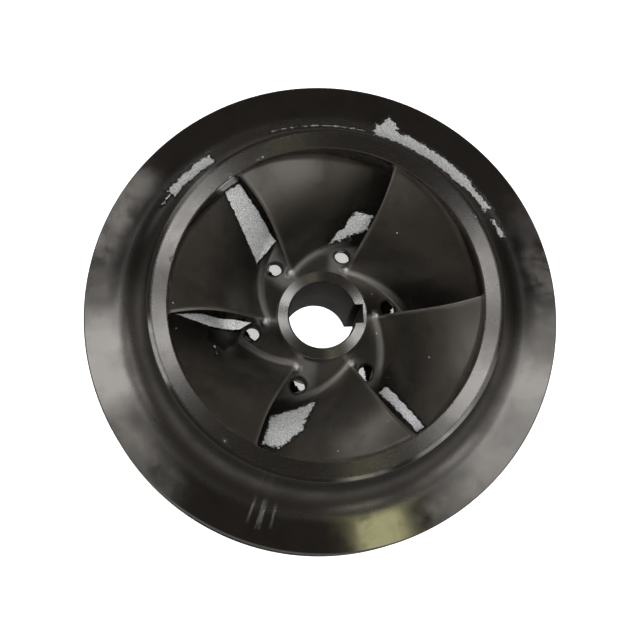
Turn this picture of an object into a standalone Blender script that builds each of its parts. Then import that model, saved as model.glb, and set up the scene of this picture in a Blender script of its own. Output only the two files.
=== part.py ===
"""A closed centrifugal pump impeller, 200 mm across, lying with its suction eye upwards.

Blender 4.5, metres, +Z up. The axis is the Z axis, the hub's rear end stands on Z = 0 and the
keyway points along +X. Six vanes sit between a back shroud and a front shroud, a hub carries the
shaft, and a wear ring is pressed on each side.
"""

from math import acos, cos, exp, pi, radians, sin, sqrt, tan

import bmesh
import bpy
import numpy as np

# Overall sizes
RIM_RADIUS = 0.100
SEGMENTS = 72
GAP = 0.0003

# Front shroud
RIM_FRONT_Z = 0.0535
FRONT_RIM_THICKNESS = 0.0035
FILLET_RADIUS = 0.015
FRONT_SLOPE = radians(9)
NECK_RADIUS = 0.0730
EYE_RADIUS = 0.0648
ROOF_RADIUS = 0.020
ROOF_SLOPE = radians(12)
SPIGOT_RADIUS = 0.0680
SPIGOT_TOP_Z = 0.0820

# Front wear ring
RING_TOP_Z = 0.0865
RING_RADIUS = 0.0732
RING_CHAMFER_WIDTH = 0.0018
RING_CHAMFER_DROP = 0.0008
EDGE_CHAMFER = 0.0005

# Back shroud
BACK_RIM_RADIUS = 0.0992
OUTLET_WIDTH = 0.020
BACK_RIM_THICKNESS = 0.004
WEB_THICKNESS = 0.0055
FLOOR_RISE = 0.0182
FLOOR_FALL = 0.01875
BACK_SEAT_RADIUS = 0.0560
BACK_SEAT_INNER = 0.0525
BACK_SEAT_DEPTH = 0.0110
BALANCE_HOLE_COUNT = 6
BALANCE_HOLE_RADIUS = 0.0032
BALANCE_HOLE_CIRCLE = 0.02955
BALANCE_HOLE_ANGLE = radians(8.3)

# Back wear ring
BACK_RING_RADIUS = 0.0605
BACK_RING_LENGTH = 0.0125

# Hub
BORE_RADIUS = 0.0140
BORE_CHAMFER = 0.0006
HUB_RADIUS = 0.0220
HUB_SHOULDER_DEPTH = 0.012
NOSE_RADIUS = 0.0189
NOSE_Z = 0.0575
NOSE_FILLET = 0.0040
KEY_WIDTH = 0.008
KEY_DEPTH = 0.0033

# Vanes
VANE_COUNT = 6
VANE_WRAP = radians(132)
EXIT_SHARE = 0.55
HUB_CURL = 3.3
SHROUD_CURL = 2.0
VANE_THICKNESS = 0.0042
LEADING_THICKNESS = 0.0014
TRAILING_THICKNESS = 0.0026
STATIONS = 27
SPAN_STEPS = 9
SPAN_OVERRUN = 0.09
# The leading edge from hub to shroud: radius, height over the hub's rear end, angle in degrees
LEADING_EDGE = (
    (0.0230, 0.0477, 0.0),
    (0.0300, 0.0572, -0.6),
    (0.0380, 0.0664, -1.6),
    (0.0480, 0.0748, -1.2),
    (0.0580, 0.0806, -0.2),
    (0.0648, 0.0836, 1.0),
)

METALS = {
    "shroud": ((0.36, 0.35, 0.335), 0.24),
    "ring": ((0.45, 0.44, 0.425), 0.20),
    "hub": ((0.40, 0.39, 0.375), 0.22),
    "vane": ((0.30, 0.29, 0.275), 0.34),
}


def clear_scene():
    for obj in list(bpy.data.objects):
        bpy.data.objects.remove(obj, do_unlink=True)


def metal(name):
    colour, roughness = METALS[name]
    material = bpy.data.materials.new(name + "_metal")
    material.use_nodes = True
    shader = material.node_tree.nodes["Principled BSDF"]
    shader.inputs["Base Color"].default_value = (*colour, 1)
    shader.inputs["Metallic"].default_value = 1
    shader.inputs["Roughness"].default_value = roughness
    return material


def new_object(name, mesh, collection, material=None):
    obj = bpy.data.objects.new(name, mesh)
    collection.objects.link(obj)
    if material:
        mesh.materials.append(material)
    return obj


def turned(name, profile, collection, material=None):
    """A closed section of radius and height points, its outer side running downwards, turned about Z."""
    mesh = bpy.data.meshes.new(name)
    points = [(r, 0, z) for r, z in profile]
    edges = [(i, (i + 1) % len(points)) for i in range(len(points))]
    mesh.from_pydata(points, edges, [])
    obj = new_object(name, mesh, collection, material)
    screw = obj.modifiers.new("turn", "SCREW")
    screw.steps = screw.render_steps = SEGMENTS
    screw.use_merge_vertices = True
    screw.merge_threshold = 0.00001
    screw.use_smooth_shade = True
    return obj


def cut(obj, cutter, operation="DIFFERENCE"):
    cutter.hide_render = True
    cutter.display_type = "WIRE"
    boolean = obj.modifiers.new(operation.lower(), "BOOLEAN")
    boolean.operation = operation
    boolean.object = cutter


def arc(centre, radius, start, end, steps):
    """Points on an arc, with angles in radians from the +R direction."""
    angles = np.linspace(start, end, steps)
    return [(centre[0] + radius * cos(a), centre[1] + radius * sin(a)) for a in angles]


def floor_z(r):
    """Height of the hub side of the water passage at radius r."""
    lowest = RIM_FRONT_Z - FRONT_RIM_THICKNESS - OUTLET_WIDTH
    return lowest + FLOOR_RISE * exp(-(r - LEADING_EDGE[0][0]) / FLOOR_FALL)


def roof_line(steps):
    """The front shroud's inner side as (radius, height), from the throat to the rim."""
    rim = (RIM_RADIUS, RIM_FRONT_Z - FRONT_RIM_THICKNESS)
    centre_r = EYE_RADIUS + ROOF_RADIUS
    end_r = centre_r - ROOF_RADIUS * sin(ROOF_SLOPE)
    end_z = rim[1] + (RIM_RADIUS - end_r) * tan(ROOF_SLOPE)
    centre = (centre_r, end_z + ROOF_RADIUS * cos(ROOF_SLOPE))
    return [*arc(centre, ROOF_RADIUS, pi, 1.5 * pi - ROOF_SLOPE, steps), rim]


def front_line(steps):
    """The front shroud's outer side as (radius, height), from the neck down to the rim."""
    centre_r = NECK_RADIUS + FILLET_RADIUS
    end_r = centre_r - FILLET_RADIUS * sin(FRONT_SLOPE)
    end_z = RIM_FRONT_Z + (RIM_RADIUS - end_r) * tan(FRONT_SLOPE)
    centre = (centre_r, end_z + FILLET_RADIUS * cos(FRONT_SLOPE))
    return arc(centre, FILLET_RADIUS, pi, 1.5 * pi - FRONT_SLOPE, steps)


def build_front_shroud(collection, material):
    front = front_line(8)
    seat_z = front[0][1]
    roof = roof_line(8)
    edge = EDGE_CHAMFER
    profile = [
        (EYE_RADIUS, SPIGOT_TOP_Z),
        (SPIGOT_RADIUS, SPIGOT_TOP_Z),
        (SPIGOT_RADIUS, seat_z),
        *front,
        (RIM_RADIUS - edge, RIM_FRONT_Z + edge * tan(FRONT_SLOPE)),
        (RIM_RADIUS, RIM_FRONT_Z - edge),
        *reversed(roof),
    ]
    turned("front_shroud", profile, collection, material)
    return seat_z


def build_front_wear_ring(collection, material, seat_z):
    bottom = seat_z + GAP
    inner = SPIGOT_RADIUS + GAP
    profile = [
        (EYE_RADIUS + EDGE_CHAMFER, RING_TOP_Z),
        (RING_RADIUS - RING_CHAMFER_WIDTH, RING_TOP_Z),
        (RING_RADIUS, RING_TOP_Z - RING_CHAMFER_DROP),
        (RING_RADIUS, bottom),
        (inner, bottom),
        (inner, SPIGOT_TOP_Z + GAP),
        (EYE_RADIUS, SPIGOT_TOP_Z + GAP),
        (EYE_RADIUS, RING_TOP_Z - EDGE_CHAMFER),
    ]
    turned("front_wear_ring", profile, collection, material)


def back_line(r):
    """Height of the back shroud's rear side at radius r."""
    share = (r - HUB_RADIUS) / (BACK_RIM_RADIUS - HUB_RADIUS)
    return floor_z(r) - WEB_THICKNESS + share * (WEB_THICKNESS - BACK_RIM_THICKNESS)


def build_back_shroud(collection, material, cutters):
    inner = HUB_RADIUS + GAP
    floor = [(r, floor_z(r)) for r in np.geomspace(inner, BACK_RIM_RADIUS, 11)]
    seat_z = back_line(BACK_SEAT_RADIUS) - BACK_SEAT_DEPTH
    outer_rear = [(r, back_line(r)) for r in (BACK_RIM_RADIUS, 0.085, 0.070, BACK_SEAT_RADIUS)]
    inner_rear = [(r, back_line(r)) for r in (BACK_SEAT_INNER, 0.043, 0.036, 0.030)]
    shoulder_z = floor_z(HUB_RADIUS) - HUB_SHOULDER_DEPTH
    profile = [
        *floor,
        *outer_rear,
        (BACK_SEAT_RADIUS, seat_z),
        (BACK_SEAT_INNER, seat_z),
        *inner_rear,
        (0.026, shoulder_z),
        (inner, shoulder_z),
    ]
    shroud = turned("back_shroud", profile, collection, material)
    for i in range(BALANCE_HOLE_COUNT):
        angle = BALANCE_HOLE_ANGLE + 2 * pi * i / BALANCE_HOLE_COUNT
        place = (BALANCE_HOLE_CIRCLE * cos(angle), BALANCE_HOLE_CIRCLE * sin(angle), 0.045)
        drill = cylinder(f"drill_{i + 1}", BALANCE_HOLE_RADIUS, 0.06, 16, cutters)
        drill.location = place
        cut(shroud, drill)
    return seat_z


def cylinder(name, radius, length, sides, collection):
    mesh = bpy.data.meshes.new(name)
    shape = bmesh.new()
    bmesh.ops.create_cone(
        shape, cap_ends=True, segments=sides, radius1=radius, radius2=radius, depth=length
    )
    shape.to_mesh(mesh)
    shape.free()
    return new_object(name, mesh, collection)


def build_back_wear_ring(collection, material):
    top = back_line(BACK_RING_RADIUS) - GAP
    bottom = top - BACK_RING_LENGTH
    inner = BACK_SEAT_RADIUS + GAP
    edge = EDGE_CHAMFER
    profile = [
        (inner, top),
        (BACK_RING_RADIUS, top),
        (BACK_RING_RADIUS, bottom + edge),
        (BACK_RING_RADIUS - edge, bottom),
        (inner + edge, bottom),
        (inner, bottom + edge),
    ]
    turned("back_wear_ring", profile, collection, material)


def nose_flank(steps):
    """The fillet from the nose's side into the passage floor, and the floor as far as the hub's edge."""
    r = NOSE_RADIUS
    for _ in range(20):
        slope = -FLOOR_RISE / FLOOR_FALL * exp(-(r - LEADING_EDGE[0][0]) / FLOOR_FALL)
        upright = 1 / sqrt(1 + slope * slope)
        r = NOSE_RADIUS + NOSE_FILLET * (1 + slope * upright)
    centre = (NOSE_RADIUS + NOSE_FILLET, floor_z(r) + NOSE_FILLET * upright)
    fillet = arc(centre, NOSE_FILLET, pi, 2 * pi - acos(slope * upright), steps)
    return [*fillet, *((x, floor_z(x)) for x in np.linspace(r, HUB_RADIUS, 3)[1:])]


def build_hub(collection, material, cutters):
    profile = [
        (BORE_RADIUS + BORE_CHAMFER, NOSE_Z),
        (NOSE_RADIUS - EDGE_CHAMFER, NOSE_Z),
        (NOSE_RADIUS, NOSE_Z - EDGE_CHAMFER),
        *nose_flank(6),
        (HUB_RADIUS, 0.001),
        (HUB_RADIUS - 0.001, 0),
        (BORE_RADIUS + BORE_CHAMFER, 0),
        (BORE_RADIUS, BORE_CHAMFER),
        (BORE_RADIUS, NOSE_Z - BORE_CHAMFER),
    ]
    hub = turned("hub", profile, collection, material)
    mesh = bpy.data.meshes.new("key_cutter")
    shape = bmesh.new()
    bmesh.ops.create_cube(shape, size=1)
    bmesh.ops.scale(shape, vec=(BORE_RADIUS + KEY_DEPTH, KEY_WIDTH, NOSE_Z * 1.2), verts=shape.verts)
    shape.to_mesh(mesh)
    shape.free()
    cutter = new_object("key_cutter", mesh, cutters)
    cutter.location = ((BORE_RADIUS + KEY_DEPTH) / 2, 0, NOSE_Z / 2)
    cut(hub, cutter)


def build_passage(cutters):
    """The water passage, a gap smaller than the walls, that trims the vanes."""
    start = NOSE_RADIUS + 3 * GAP
    reach = BACK_RIM_RADIUS - GAP
    floor = [(r, floor_z(r) + GAP) for r in np.geomspace(HUB_RADIUS + GAP, reach, 13)]
    roof = [(r - GAP, z - GAP) for r, z in roof_line(8)]
    roof[-1] = (reach, roof[-1][1] + (RIM_RADIUS - reach) * tan(ROOF_SLOPE))
    profile = [
        (start, RING_TOP_Z),
        (EYE_RADIUS - GAP, RING_TOP_Z),
        *roof,
        *reversed(floor),
        (start, floor_z(start) + 6 * GAP),
    ]
    return turned("passage_cutter", profile, cutters)


def along(line, count):
    """Points evenly spaced along a polyline of (radius, height) points."""
    line = np.array(line)
    run = np.concatenate([[0], np.cumsum(np.hypot(*np.diff(line, axis=0).T))])
    where = np.linspace(0, run[-1], count)
    return np.stack([np.interp(where, run, line[:, 0]), np.interp(where, run, line[:, 1])], 1)


def camber_surface():
    """Points of a vane's middle surface, stations by span steps, in cylindrical coordinates."""
    edge = np.array(LEADING_EDGE)
    spans = np.linspace(-SPAN_OVERRUN, 1 + SPAN_OVERRUN, SPAN_STEPS)
    share = (edge[:, 0] - edge[0, 0]) / (edge[-1, 0] - edge[0, 0])
    throat = [(EYE_RADIUS, edge[-1, 1]), *roof_line(24)]
    shroud_side = along(throat, STATIONS)
    hub_run = [(r, floor_z(r)) for r in np.geomspace(edge[0, 0], RIM_RADIUS, 60)]
    hub_side = along(hub_run, STATIONS)
    surface = np.empty((STATIONS, SPAN_STEPS, 3))
    for i in range(STATIONS):
        s = i / (STATIONS - 1)
        fade = (1 - s) ** 2
        for j, v in enumerate(spans):
            straight = hub_side[i] + (hub_side[i] - shroud_side[i]) * -v
            chord = edge[0, :2] + (edge[-1, :2] - edge[0, :2]) * v
            bow = leading_point(edge, share, v)[:2] - chord
            r, z = straight + bow * fade
            lead = leading_point(edge, share, v)[2]
            surface[i, j] = r, z, radians(lead) * fade - VANE_WRAP * wrap_share(s, v)
    return surface


def leading_point(edge, share, v):
    """The leading edge at span v, run on in a straight line past its ends."""
    inside = min(max(v, 0), 1)
    point = np.array([np.interp(inside, share, edge[:, k]) for k in range(3)])
    slope = edge[1] - edge[0] if v < 0 else edge[-1] - edge[-2]
    step = share[1] if v < 0 else 1 - share[-2]
    return point + slope * (v - inside) / step


def wrap_share(s, v):
    """Share of the wrap turned through at station s of span v; it curls tightest at the hub."""
    curl = HUB_CURL + (SHROUD_CURL - HUB_CURL) * v
    return EXIT_SHARE * s + (1 - EXIT_SHARE) * (1 - (1 - s) ** curl)


def thickness(s):
    """Vane thickness at share s of its length."""
    swell = min(1, s / 0.22)
    body = LEADING_THICKNESS + (VANE_THICKNESS - LEADING_THICKNESS) * sqrt(swell)
    taper = max(0, (s - 0.6) / 0.4)
    return body + (TRAILING_THICKNESS - VANE_THICKNESS) * taper


def blade_mesh(name, turn):
    """A closed blade: two offset faces joined round their edges."""
    surface = camber_surface()
    r, z, angle = surface[..., 0], surface[..., 1], surface[..., 2] + turn
    middle = np.stack([r * np.cos(angle), r * np.sin(angle), z], -1)
    along_s = np.gradient(middle, axis=0)
    along_v = np.gradient(middle, axis=1)
    normal = np.cross(along_s, along_v)
    normal /= np.linalg.norm(normal, axis=-1, keepdims=True)
    half = np.array([thickness(i / (STATIONS - 1)) / 2 for i in range(STATIONS)])
    sides = [middle + k * normal * half[:, None, None] for k in (1, -1)]
    shape = bmesh.new()
    grids = [[[shape.verts.new(p) for p in row] for row in side] for side in sides]
    last_i, last_j = STATIONS - 1, SPAN_STEPS - 1
    for i in range(last_i):
        for j in range(last_j):
            for g, flip in ((grids[0], False), (grids[1], True)):
                quad = [g[i][j], g[i + 1][j], g[i + 1][j + 1], g[i][j + 1]]
                shape.faces.new(quad[::-1] if flip else quad)
    rim = [(i, 0) for i in range(last_i)] + [(last_i, j) for j in range(last_j)]
    rim += [(i, last_j) for i in range(last_i, 0, -1)] + [(0, j) for j in range(last_j, 0, -1)]
    upper, lower = grids
    for (i, j), (k, m) in zip(rim, rim[1:] + rim[:1]):
        shape.faces.new([upper[k][m], upper[i][j], lower[i][j], lower[k][m]])
    bmesh.ops.recalc_face_normals(shape, faces=shape.faces)
    mesh = bpy.data.meshes.new(name)
    shape.to_mesh(mesh)
    shape.free()
    return mesh


def build_vanes(collection, material, passage):
    for k in range(VANE_COUNT):
        name = f"vane_{k + 1}"
        mesh = blade_mesh(name, 2 * pi * k / VANE_COUNT)
        vane = new_object(name, mesh, collection, material)
        cut(vane, passage, "INTERSECT")


def main():
    clear_scene()
    impeller = bpy.data.collections.new("pump_impeller")
    cutters = bpy.data.collections.new("cutters")
    for collection in (impeller, cutters):
        bpy.context.scene.collection.children.link(collection)
    metals = {name: metal(name) for name in METALS}
    seat_z = build_front_shroud(impeller, metals["shroud"])
    build_front_wear_ring(impeller, metals["ring"], seat_z)
    build_back_shroud(impeller, metals["shroud"], cutters)
    build_back_wear_ring(impeller, metals["ring"])
    build_hub(impeller, metals["hub"], cutters)
    build_vanes(impeller, metals["vane"], build_passage(cutters))


main()
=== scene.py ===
"""The look of a closed pump impeller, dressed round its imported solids.

The shaft axis is Z and the keyway points along +X. Every turned piece is a section of radius and
height spun about the axis. The vanes are lofted between the two shrouds and copied round by a
geometry tree, and another tree drills the balance holes.
"""
import logging
from dataclasses import dataclass, field, replace
from enum import Enum
from functools import reduce
from math import atan2, cos, exp, hypot, pi, radians, sin, tan
from typing import Any, Optional, Sequence, Union

import bmesh
import bpy
import numpy as np
from mathutils import Matrix, Vector


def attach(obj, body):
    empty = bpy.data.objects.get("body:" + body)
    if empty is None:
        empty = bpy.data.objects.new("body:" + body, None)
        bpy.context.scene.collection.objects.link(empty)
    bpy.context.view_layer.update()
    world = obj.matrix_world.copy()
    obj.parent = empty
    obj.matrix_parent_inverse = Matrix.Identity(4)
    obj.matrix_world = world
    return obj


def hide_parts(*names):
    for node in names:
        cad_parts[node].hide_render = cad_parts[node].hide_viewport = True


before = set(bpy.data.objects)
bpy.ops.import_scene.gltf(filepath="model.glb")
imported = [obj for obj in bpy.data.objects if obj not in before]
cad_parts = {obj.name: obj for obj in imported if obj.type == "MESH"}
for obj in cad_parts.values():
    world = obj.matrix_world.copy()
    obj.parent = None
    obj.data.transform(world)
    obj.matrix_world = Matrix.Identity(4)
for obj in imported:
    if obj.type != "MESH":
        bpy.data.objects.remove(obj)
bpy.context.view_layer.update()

log = logging.getLogger("impeller")

BODY = "root"
Point = tuple[float, float]
Corner = tuple[float, float, float]
Colour = tuple[float, float, float]

# The angles past which an edge of a turned piece and of a vane is shaded sharp.
CREASE = radians(32)
VANE_CREASE = radians(50)

# The mesh attributes for the rubbed leading edges, worn and with a painted highlight, and for the painted
# highlight along the vanes' feet.
WORN_EDGE_SHEEN = "worn"
PAINTED_FOOT_SHEEN = "painted_foot_sheen"

# The points on a shroud's sweep, the longest side of a turned section and the round of a fine edge.
SWEEP_STEPS = 28
LONGEST = 0.003
EASE = 0.0003

# The share of a side that a corner's round may take, and how far beyond it the flat's next point lies.
ROUND_SHARE = 0.45
FLAT_SHARE = 0.48
FLAT_REACH = 1.3

# The distance within which two points of a sheet become one.
WELD = 0.000002


class Slot(Enum):
    """The record's material slots."""

    SHROUD = "shroud_metal"
    RING = "ring_metal"
    HUB = "hub_metal"
    VANE = "vane_metal"


class Marks(Enum):
    """The way in which a surface was finished."""

    TURNED = "turned"
    POLISHED = "polished"
    CAST = "cast"


@dataclass(frozen=True)
class Grain:
    """Noise, and the ramp that makes a mask of it.

    Attributes:
        scale: Features per unit of the vector that it is read at.
        detail: Octaves.
        rough: How much each finer octave counts.
        low: The noise at which the mask starts.
        high: The noise at which the mask is full.
    """

    scale: float
    detail: float
    rough: float
    low: float = 0.0
    high: float = 1.0


CLOUDS = Grain(55.0, 5.0, 0.6)
BLOTS = Grain(95.0, 3.0, 0.55)
SPECKS = Grain(900.0, 1.0, 0.4, 0.72, 0.78)
HAZE = Grain(60.0, 7.0, 0.6, 0.44, 0.68)
GREASE = Grain(80.0, 9.0, 0.64, 0.32, 0.76)
CRUMBLE = Grain(420.0, 8.0, 0.8)
PATCH_GRAIN = Grain(1800.0, 3.0, 0.7, 0.30, 0.66)
LATHE_LINES = Grain(1.0, 2.0, 0.6)
POLISH_LINES = Grain(1.0, 3.0, 0.6)
CAST_SKIN = Grain(450.0, 4.0, 0.6)


class Number:
    """A number socket that takes Python arithmetic."""

    def __init__(self, graph: "Nodes", socket: bpy.types.NodeSocket) -> None:
        """Wrap an output socket of a graph."""
        self.graph = graph
        self.socket = socket

    def _math(self, operation: str, *operands: "Operand") -> "Number":
        """Return the result of a Math node on its operands."""
        node = self.graph.node("Math", {"operation": operation}, dict(enumerate(operands)))
        return Number(self.graph, node.outputs[0])

    def __add__(self, other: "Operand") -> "Number":
        """Return self + other."""
        return self._math("ADD", self, other)

    __radd__ = __add__

    def __sub__(self, other: "Operand") -> "Number":
        """Return self - other."""
        return self._math("SUBTRACT", self, other)

    def __rsub__(self, other: "Operand") -> "Number":
        """Return other - self."""
        return self._math("SUBTRACT", other, self)

    def __mul__(self, other: "Operand") -> "Number":
        """Return self * other."""
        return self._math("MULTIPLY", self, other)

    __rmul__ = __mul__

    def __truediv__(self, other: "Operand") -> "Number":
        """Return self / other."""
        return self._math("DIVIDE", self, other)

    def __abs__(self) -> "Number":
        """Return the size of self without its sign."""
        return self._math("ABSOLUTE", self)

    def power(self, exponent: float) -> "Number":
        """Return self to a power."""
        return self._math("POWER", self, exponent)

    def wrapped(self, limit: float) -> "Number":
        """Return self wrapped into the range from -limit to limit."""
        return self._math("WRAP", self, limit, -limit)

    def heading(self, across: "Operand") -> "Number":
        """Return the angle of the direction whose parts are across and self, in radians."""
        return self._math("ARCTAN2", self, across)

    def at_least(self, other: "Operand") -> "Number":
        """Return the larger of self and other."""
        return self._math("MAXIMUM", self, other)

    def at_most(self, other: "Operand") -> "Number":
        """Return the smaller of self and other."""
        return self._math("MINIMUM", self, other)

    def ramp(self, low: float, high: float) -> "Number":
        """Rise smoothly from 0 at low to 1 at high, or fall where low is the larger.

        Args:
            low: The value that gives 0.
            high: The value that gives 1.

        Returns:
            A number from 0 to 1.
        """
        start, end = (0.0, 1.0) if low < high else (1.0, 0.0)
        node = self.graph.node("MapRange", {"interpolation_type": "SMOOTHSTEP"}, {
            0: self, 1: min(low, high), 2: max(low, high), 3: start, 4: end})
        return Number(self.graph, node.outputs[0])


Operand = Union[Number, float, int]


class Nodes:
    """A node tree that is filled through one method."""

    prefix = "ShaderNode"
    shared = ("Math", "CombineXYZ")

    def __init__(self, tree: bpy.types.NodeTree) -> None:
        """Wrap a node tree."""
        self.tree = tree

    def node(self, kind: str, settings: dict[str, Any], inputs: dict[Any, Any]) -> bpy.types.Node:
        """Add a node, set its settings, and then its sockets.

        Args:
            kind: The node's type, without its prefix.
            settings: Property names and values.
            inputs: Socket names or numbers, with a number, a colour, a vector or a link each.

        Returns:
            The new node.
        """
        prefix = Nodes.prefix if kind in self.shared else self.prefix
        node = self.tree.nodes.new(prefix + kind)
        for name, value in settings.items():
            setattr(node, name, value)
        for key, value in inputs.items():
            self.feed(node.inputs[key], value)
        return node

    def feed(self, socket: bpy.types.NodeSocket, value: Any) -> None:
        """Link a socket, or set its value where nothing is to be linked.

        Args:
            socket: The input socket.
            value: A Number, an output socket or a plain value.
        """
        if isinstance(value, Number):
            value = value.socket
        if isinstance(value, bpy.types.NodeSocket):
            self.tree.links.new(value, socket)
        elif socket.type == "RGBA" and len(value) == 3:
            socket.default_value = (*value, 1.0)
        else:
            socket.default_value = value

    def vector(self, x: Operand, y: Operand, z: Operand) -> bpy.types.NodeSocket:
        """Return a vector of three numbers."""
        return self.node("CombineXYZ", {}, {0: x, 1: y, 2: z}).outputs[0]


class Graph(Nodes):
    """A shader tree and the few nodes that the finishes are made of."""

    @classmethod
    def fresh(cls, owner: Union[bpy.types.Material, bpy.types.World]) -> "Graph":
        """Empty the node tree of a material or a world.

        Args:
            owner: The material or world.

        Returns:
            The tree, ready to be filled.
        """
        owner.use_nodes = True
        owner.node_tree.nodes.clear()
        return cls(owner.node_tree)

    def split(self, vector: bpy.types.NodeSocket) -> list[Number]:
        """Return the three parts of a vector."""
        return [Number(self, part) for part in self.node("SeparateXYZ", {}, {0: vector}).outputs]

    def attribute(self, name: str) -> Number:
        """Return a number that the mesh holds at each point."""
        return Number(self, self.node("Attribute", {"attribute_name": name}, {}).outputs["Fac"])

    def noise(self, place: Any, grain: Grain) -> Number:
        """Return noise read at a vector.

        Args:
            place: The vector.
            grain: The noise's size and roughness.

        Returns:
            The noise, from 0 to 1.
        """
        return Number(self, self.node("TexNoise", {}, {
            "Vector": place, "Scale": grain.scale, "Detail": grain.detail, "Roughness": grain.rough,
        }).outputs[0])

    def mask(self, place: Any, grain: Grain) -> Number:
        """Return noise read at a vector, ramped to a mask."""
        return self.noise(place, grain).ramp(grain.low, grain.high)

    def mix(self, factor: Operand, first: Any, second: Any) -> bpy.types.NodeSocket:
        """Return two colours or links blended, the first alone at a factor of 0."""
        return self.node("Mix", {"data_type": "RGBA"}, {0: factor, 6: first, 7: second}).outputs[2]

    def bump(self, height: Number, distance: float) -> bpy.types.NodeSocket:
        """Return the normal that a height gives.

        Args:
            height: The height, in units of the distance.
            distance: How high a height of 1 stands, in metres.

        Returns:
            The normal, for a shader.
        """
        return self.node("Bump", {}, {
            "Strength": 1.0, "Distance": distance, "Height": height,
        }).outputs[0]


@dataclass
class Place:
    """Where a shaded point is, about the shaft axis.

    Attributes:
        graph: The material's nodes.
        point: The point, in the object's own coordinates.
        x: The point's place along the keyway.
        y: Its place across the keyway.
        z: Its height.
        radius: Its distance from the axis.
        east: The cosine of its direction round the axis.
        north: The sine of that direction.
    """

    graph: Graph
    point: bpy.types.NodeSocket = field(init=False)
    x: Number = field(init=False)
    y: Number = field(init=False)
    z: Number = field(init=False)
    radius: Number = field(init=False)
    east: Number = field(init=False)
    north: Number = field(init=False)

    def __post_init__(self) -> None:
        """Read the object's own coordinates and split them up."""
        graph = self.graph
        self.point = graph.node("TexCoord", {}, {}).outputs["Object"]
        self.x, self.y, self.z = graph.split(self.point)
        self.radius = (self.x * self.x + self.y * self.y).power(0.5)
        self.east = self.x / self.radius
        self.north = self.y / self.radius

    def towards(self, degrees: float) -> Number:
        """Return the cosine of the angle between the point and a direction round the axis."""
        return self.east * cos(radians(degrees)) + self.north * sin(radians(degrees))

    def within(self, sectors: Sequence[Point], soft: float = 9.0) -> Number:
        """Return 1 inside sectors about the axis, fading to 0 outside them.

        Args:
            sectors: The middle and half width of each, in degrees.
            soft: Half the fade, in degrees.

        Returns:
            A number from 0 to 1.
        """
        return reduce(Number.at_least, [
            self.towards(middle).ramp(cos(radians(half + soft)), cos(radians(half - soft)))
            for middle, half in sectors])


def polar(radius: float, angle: float) -> Point:
    """Return the point at a radius and an angle in radians."""
    return radius * cos(angle), radius * sin(angle)


class Spot:
    """A small place on a surface, as seen down the axis.

    Attributes:
        ragged: How far its edge wanders.
    """

    ragged: float

    def outside(self, place: Place) -> Number:
        """Return how far a point lies outside the spot, below 0 on it."""
        raise NotImplementedError

    def fray(self) -> float:
        """Return how far its edge wanders, in metres."""
        return self.ragged

    def over(self, place: Place, noise: Number) -> Number:
        """Return how far a point lies outside the spot once noise has frayed its edge."""
        return self.outside(place) + (noise - 0.5) * self.fray()


@dataclass(frozen=True)
class Patch(Spot):
    """A pale patch inside a convex outline.

    Attributes:
        corners: The outline's corners in metres, anticlockwise.
        ragged: How far its edge wanders.
        sunk: Whether it lies only deep in the passages, under the leading edges.
        edge_rise: How steeply the leading edges climb outwards.
        edge_foot: Their height if they ran on to the axis.
        lowest: The lowest height that a sunk patch reaches.
    """

    corners: tuple[Point, ...]
    ragged: float = 0.0024
    sunk: bool = True
    edge_rise: float = 0.743
    edge_foot: float = 0.0277
    lowest: float = 0.0352

    def outside(self, place: Place) -> Number:
        """Return how far a point lies outside the patch.

        Args:
            place: The shaded point.

        Returns:
            The distance in metres.
        """
        sides = []
        for (x0, y0), (x1, y1) in zip(self.corners, self.corners[1:] + self.corners[:1]):
            length = hypot(x1 - x0, y1 - y0)
            nx, ny = (y1 - y0) / length, (x0 - x1) / length
            sides.append(place.x * nx + place.y * ny - (x0 * nx + y0 * ny))
        if self.sunk:
            sides.append(place.z - place.radius * self.edge_rise - self.edge_foot)
            sides.append(self.lowest - place.z)
        return reduce(Number.at_least, sides)


@dataclass(frozen=True)
class Speck(Spot):
    """A small round spot.

    Attributes:
        degrees: Its direction from the axis.
        radius: Its distance from the axis.
        size: Its width.
        ragged: How far its edge wanders, as a share of its width.
    """

    degrees: float
    radius: float
    size: float = 0.0007
    ragged: float = 1.0

    def outside(self, place: Place) -> Number:
        """Return how far a point lies outside the spot.

        Args:
            place: The shaded point.

        Returns:
            The distance in metres.
        """
        x, y = polar(self.radius, radians(self.degrees))
        dx, dy = place.x - x, place.y - y
        return (dx * dx + dy * dy).power(0.5) - self.size / 2

    def fray(self) -> float:
        """Return how far its edge wanders."""
        return self.size * self.ragged


@dataclass(frozen=True)
class ArcPatch(Spot):
    """A pale patch that follows a circle about the axis.

    Attributes:
        radius: The circle's radius.
        width: The patch's width.
        start: Its first angle, in degrees.
        end: Its last angle.
        ragged: How far its edge wanders.
    """

    radius: float
    width: float
    start: float
    end: float
    ragged: float = 0.0030

    def outside(self, place: Place) -> Number:
        """Return how far a point lies outside the patch.

        Args:
            place: The shaded point.

        Returns:
            The distance in metres.
        """
        half = radians(self.end - self.start) / 2
        middle = (self.start + self.end) / 2
        along = (cos(half) - place.towards(middle)) * (self.radius / sin(half))
        across = abs(place.radius - self.radius) - self.width / 2
        return along.at_least(across)


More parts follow.
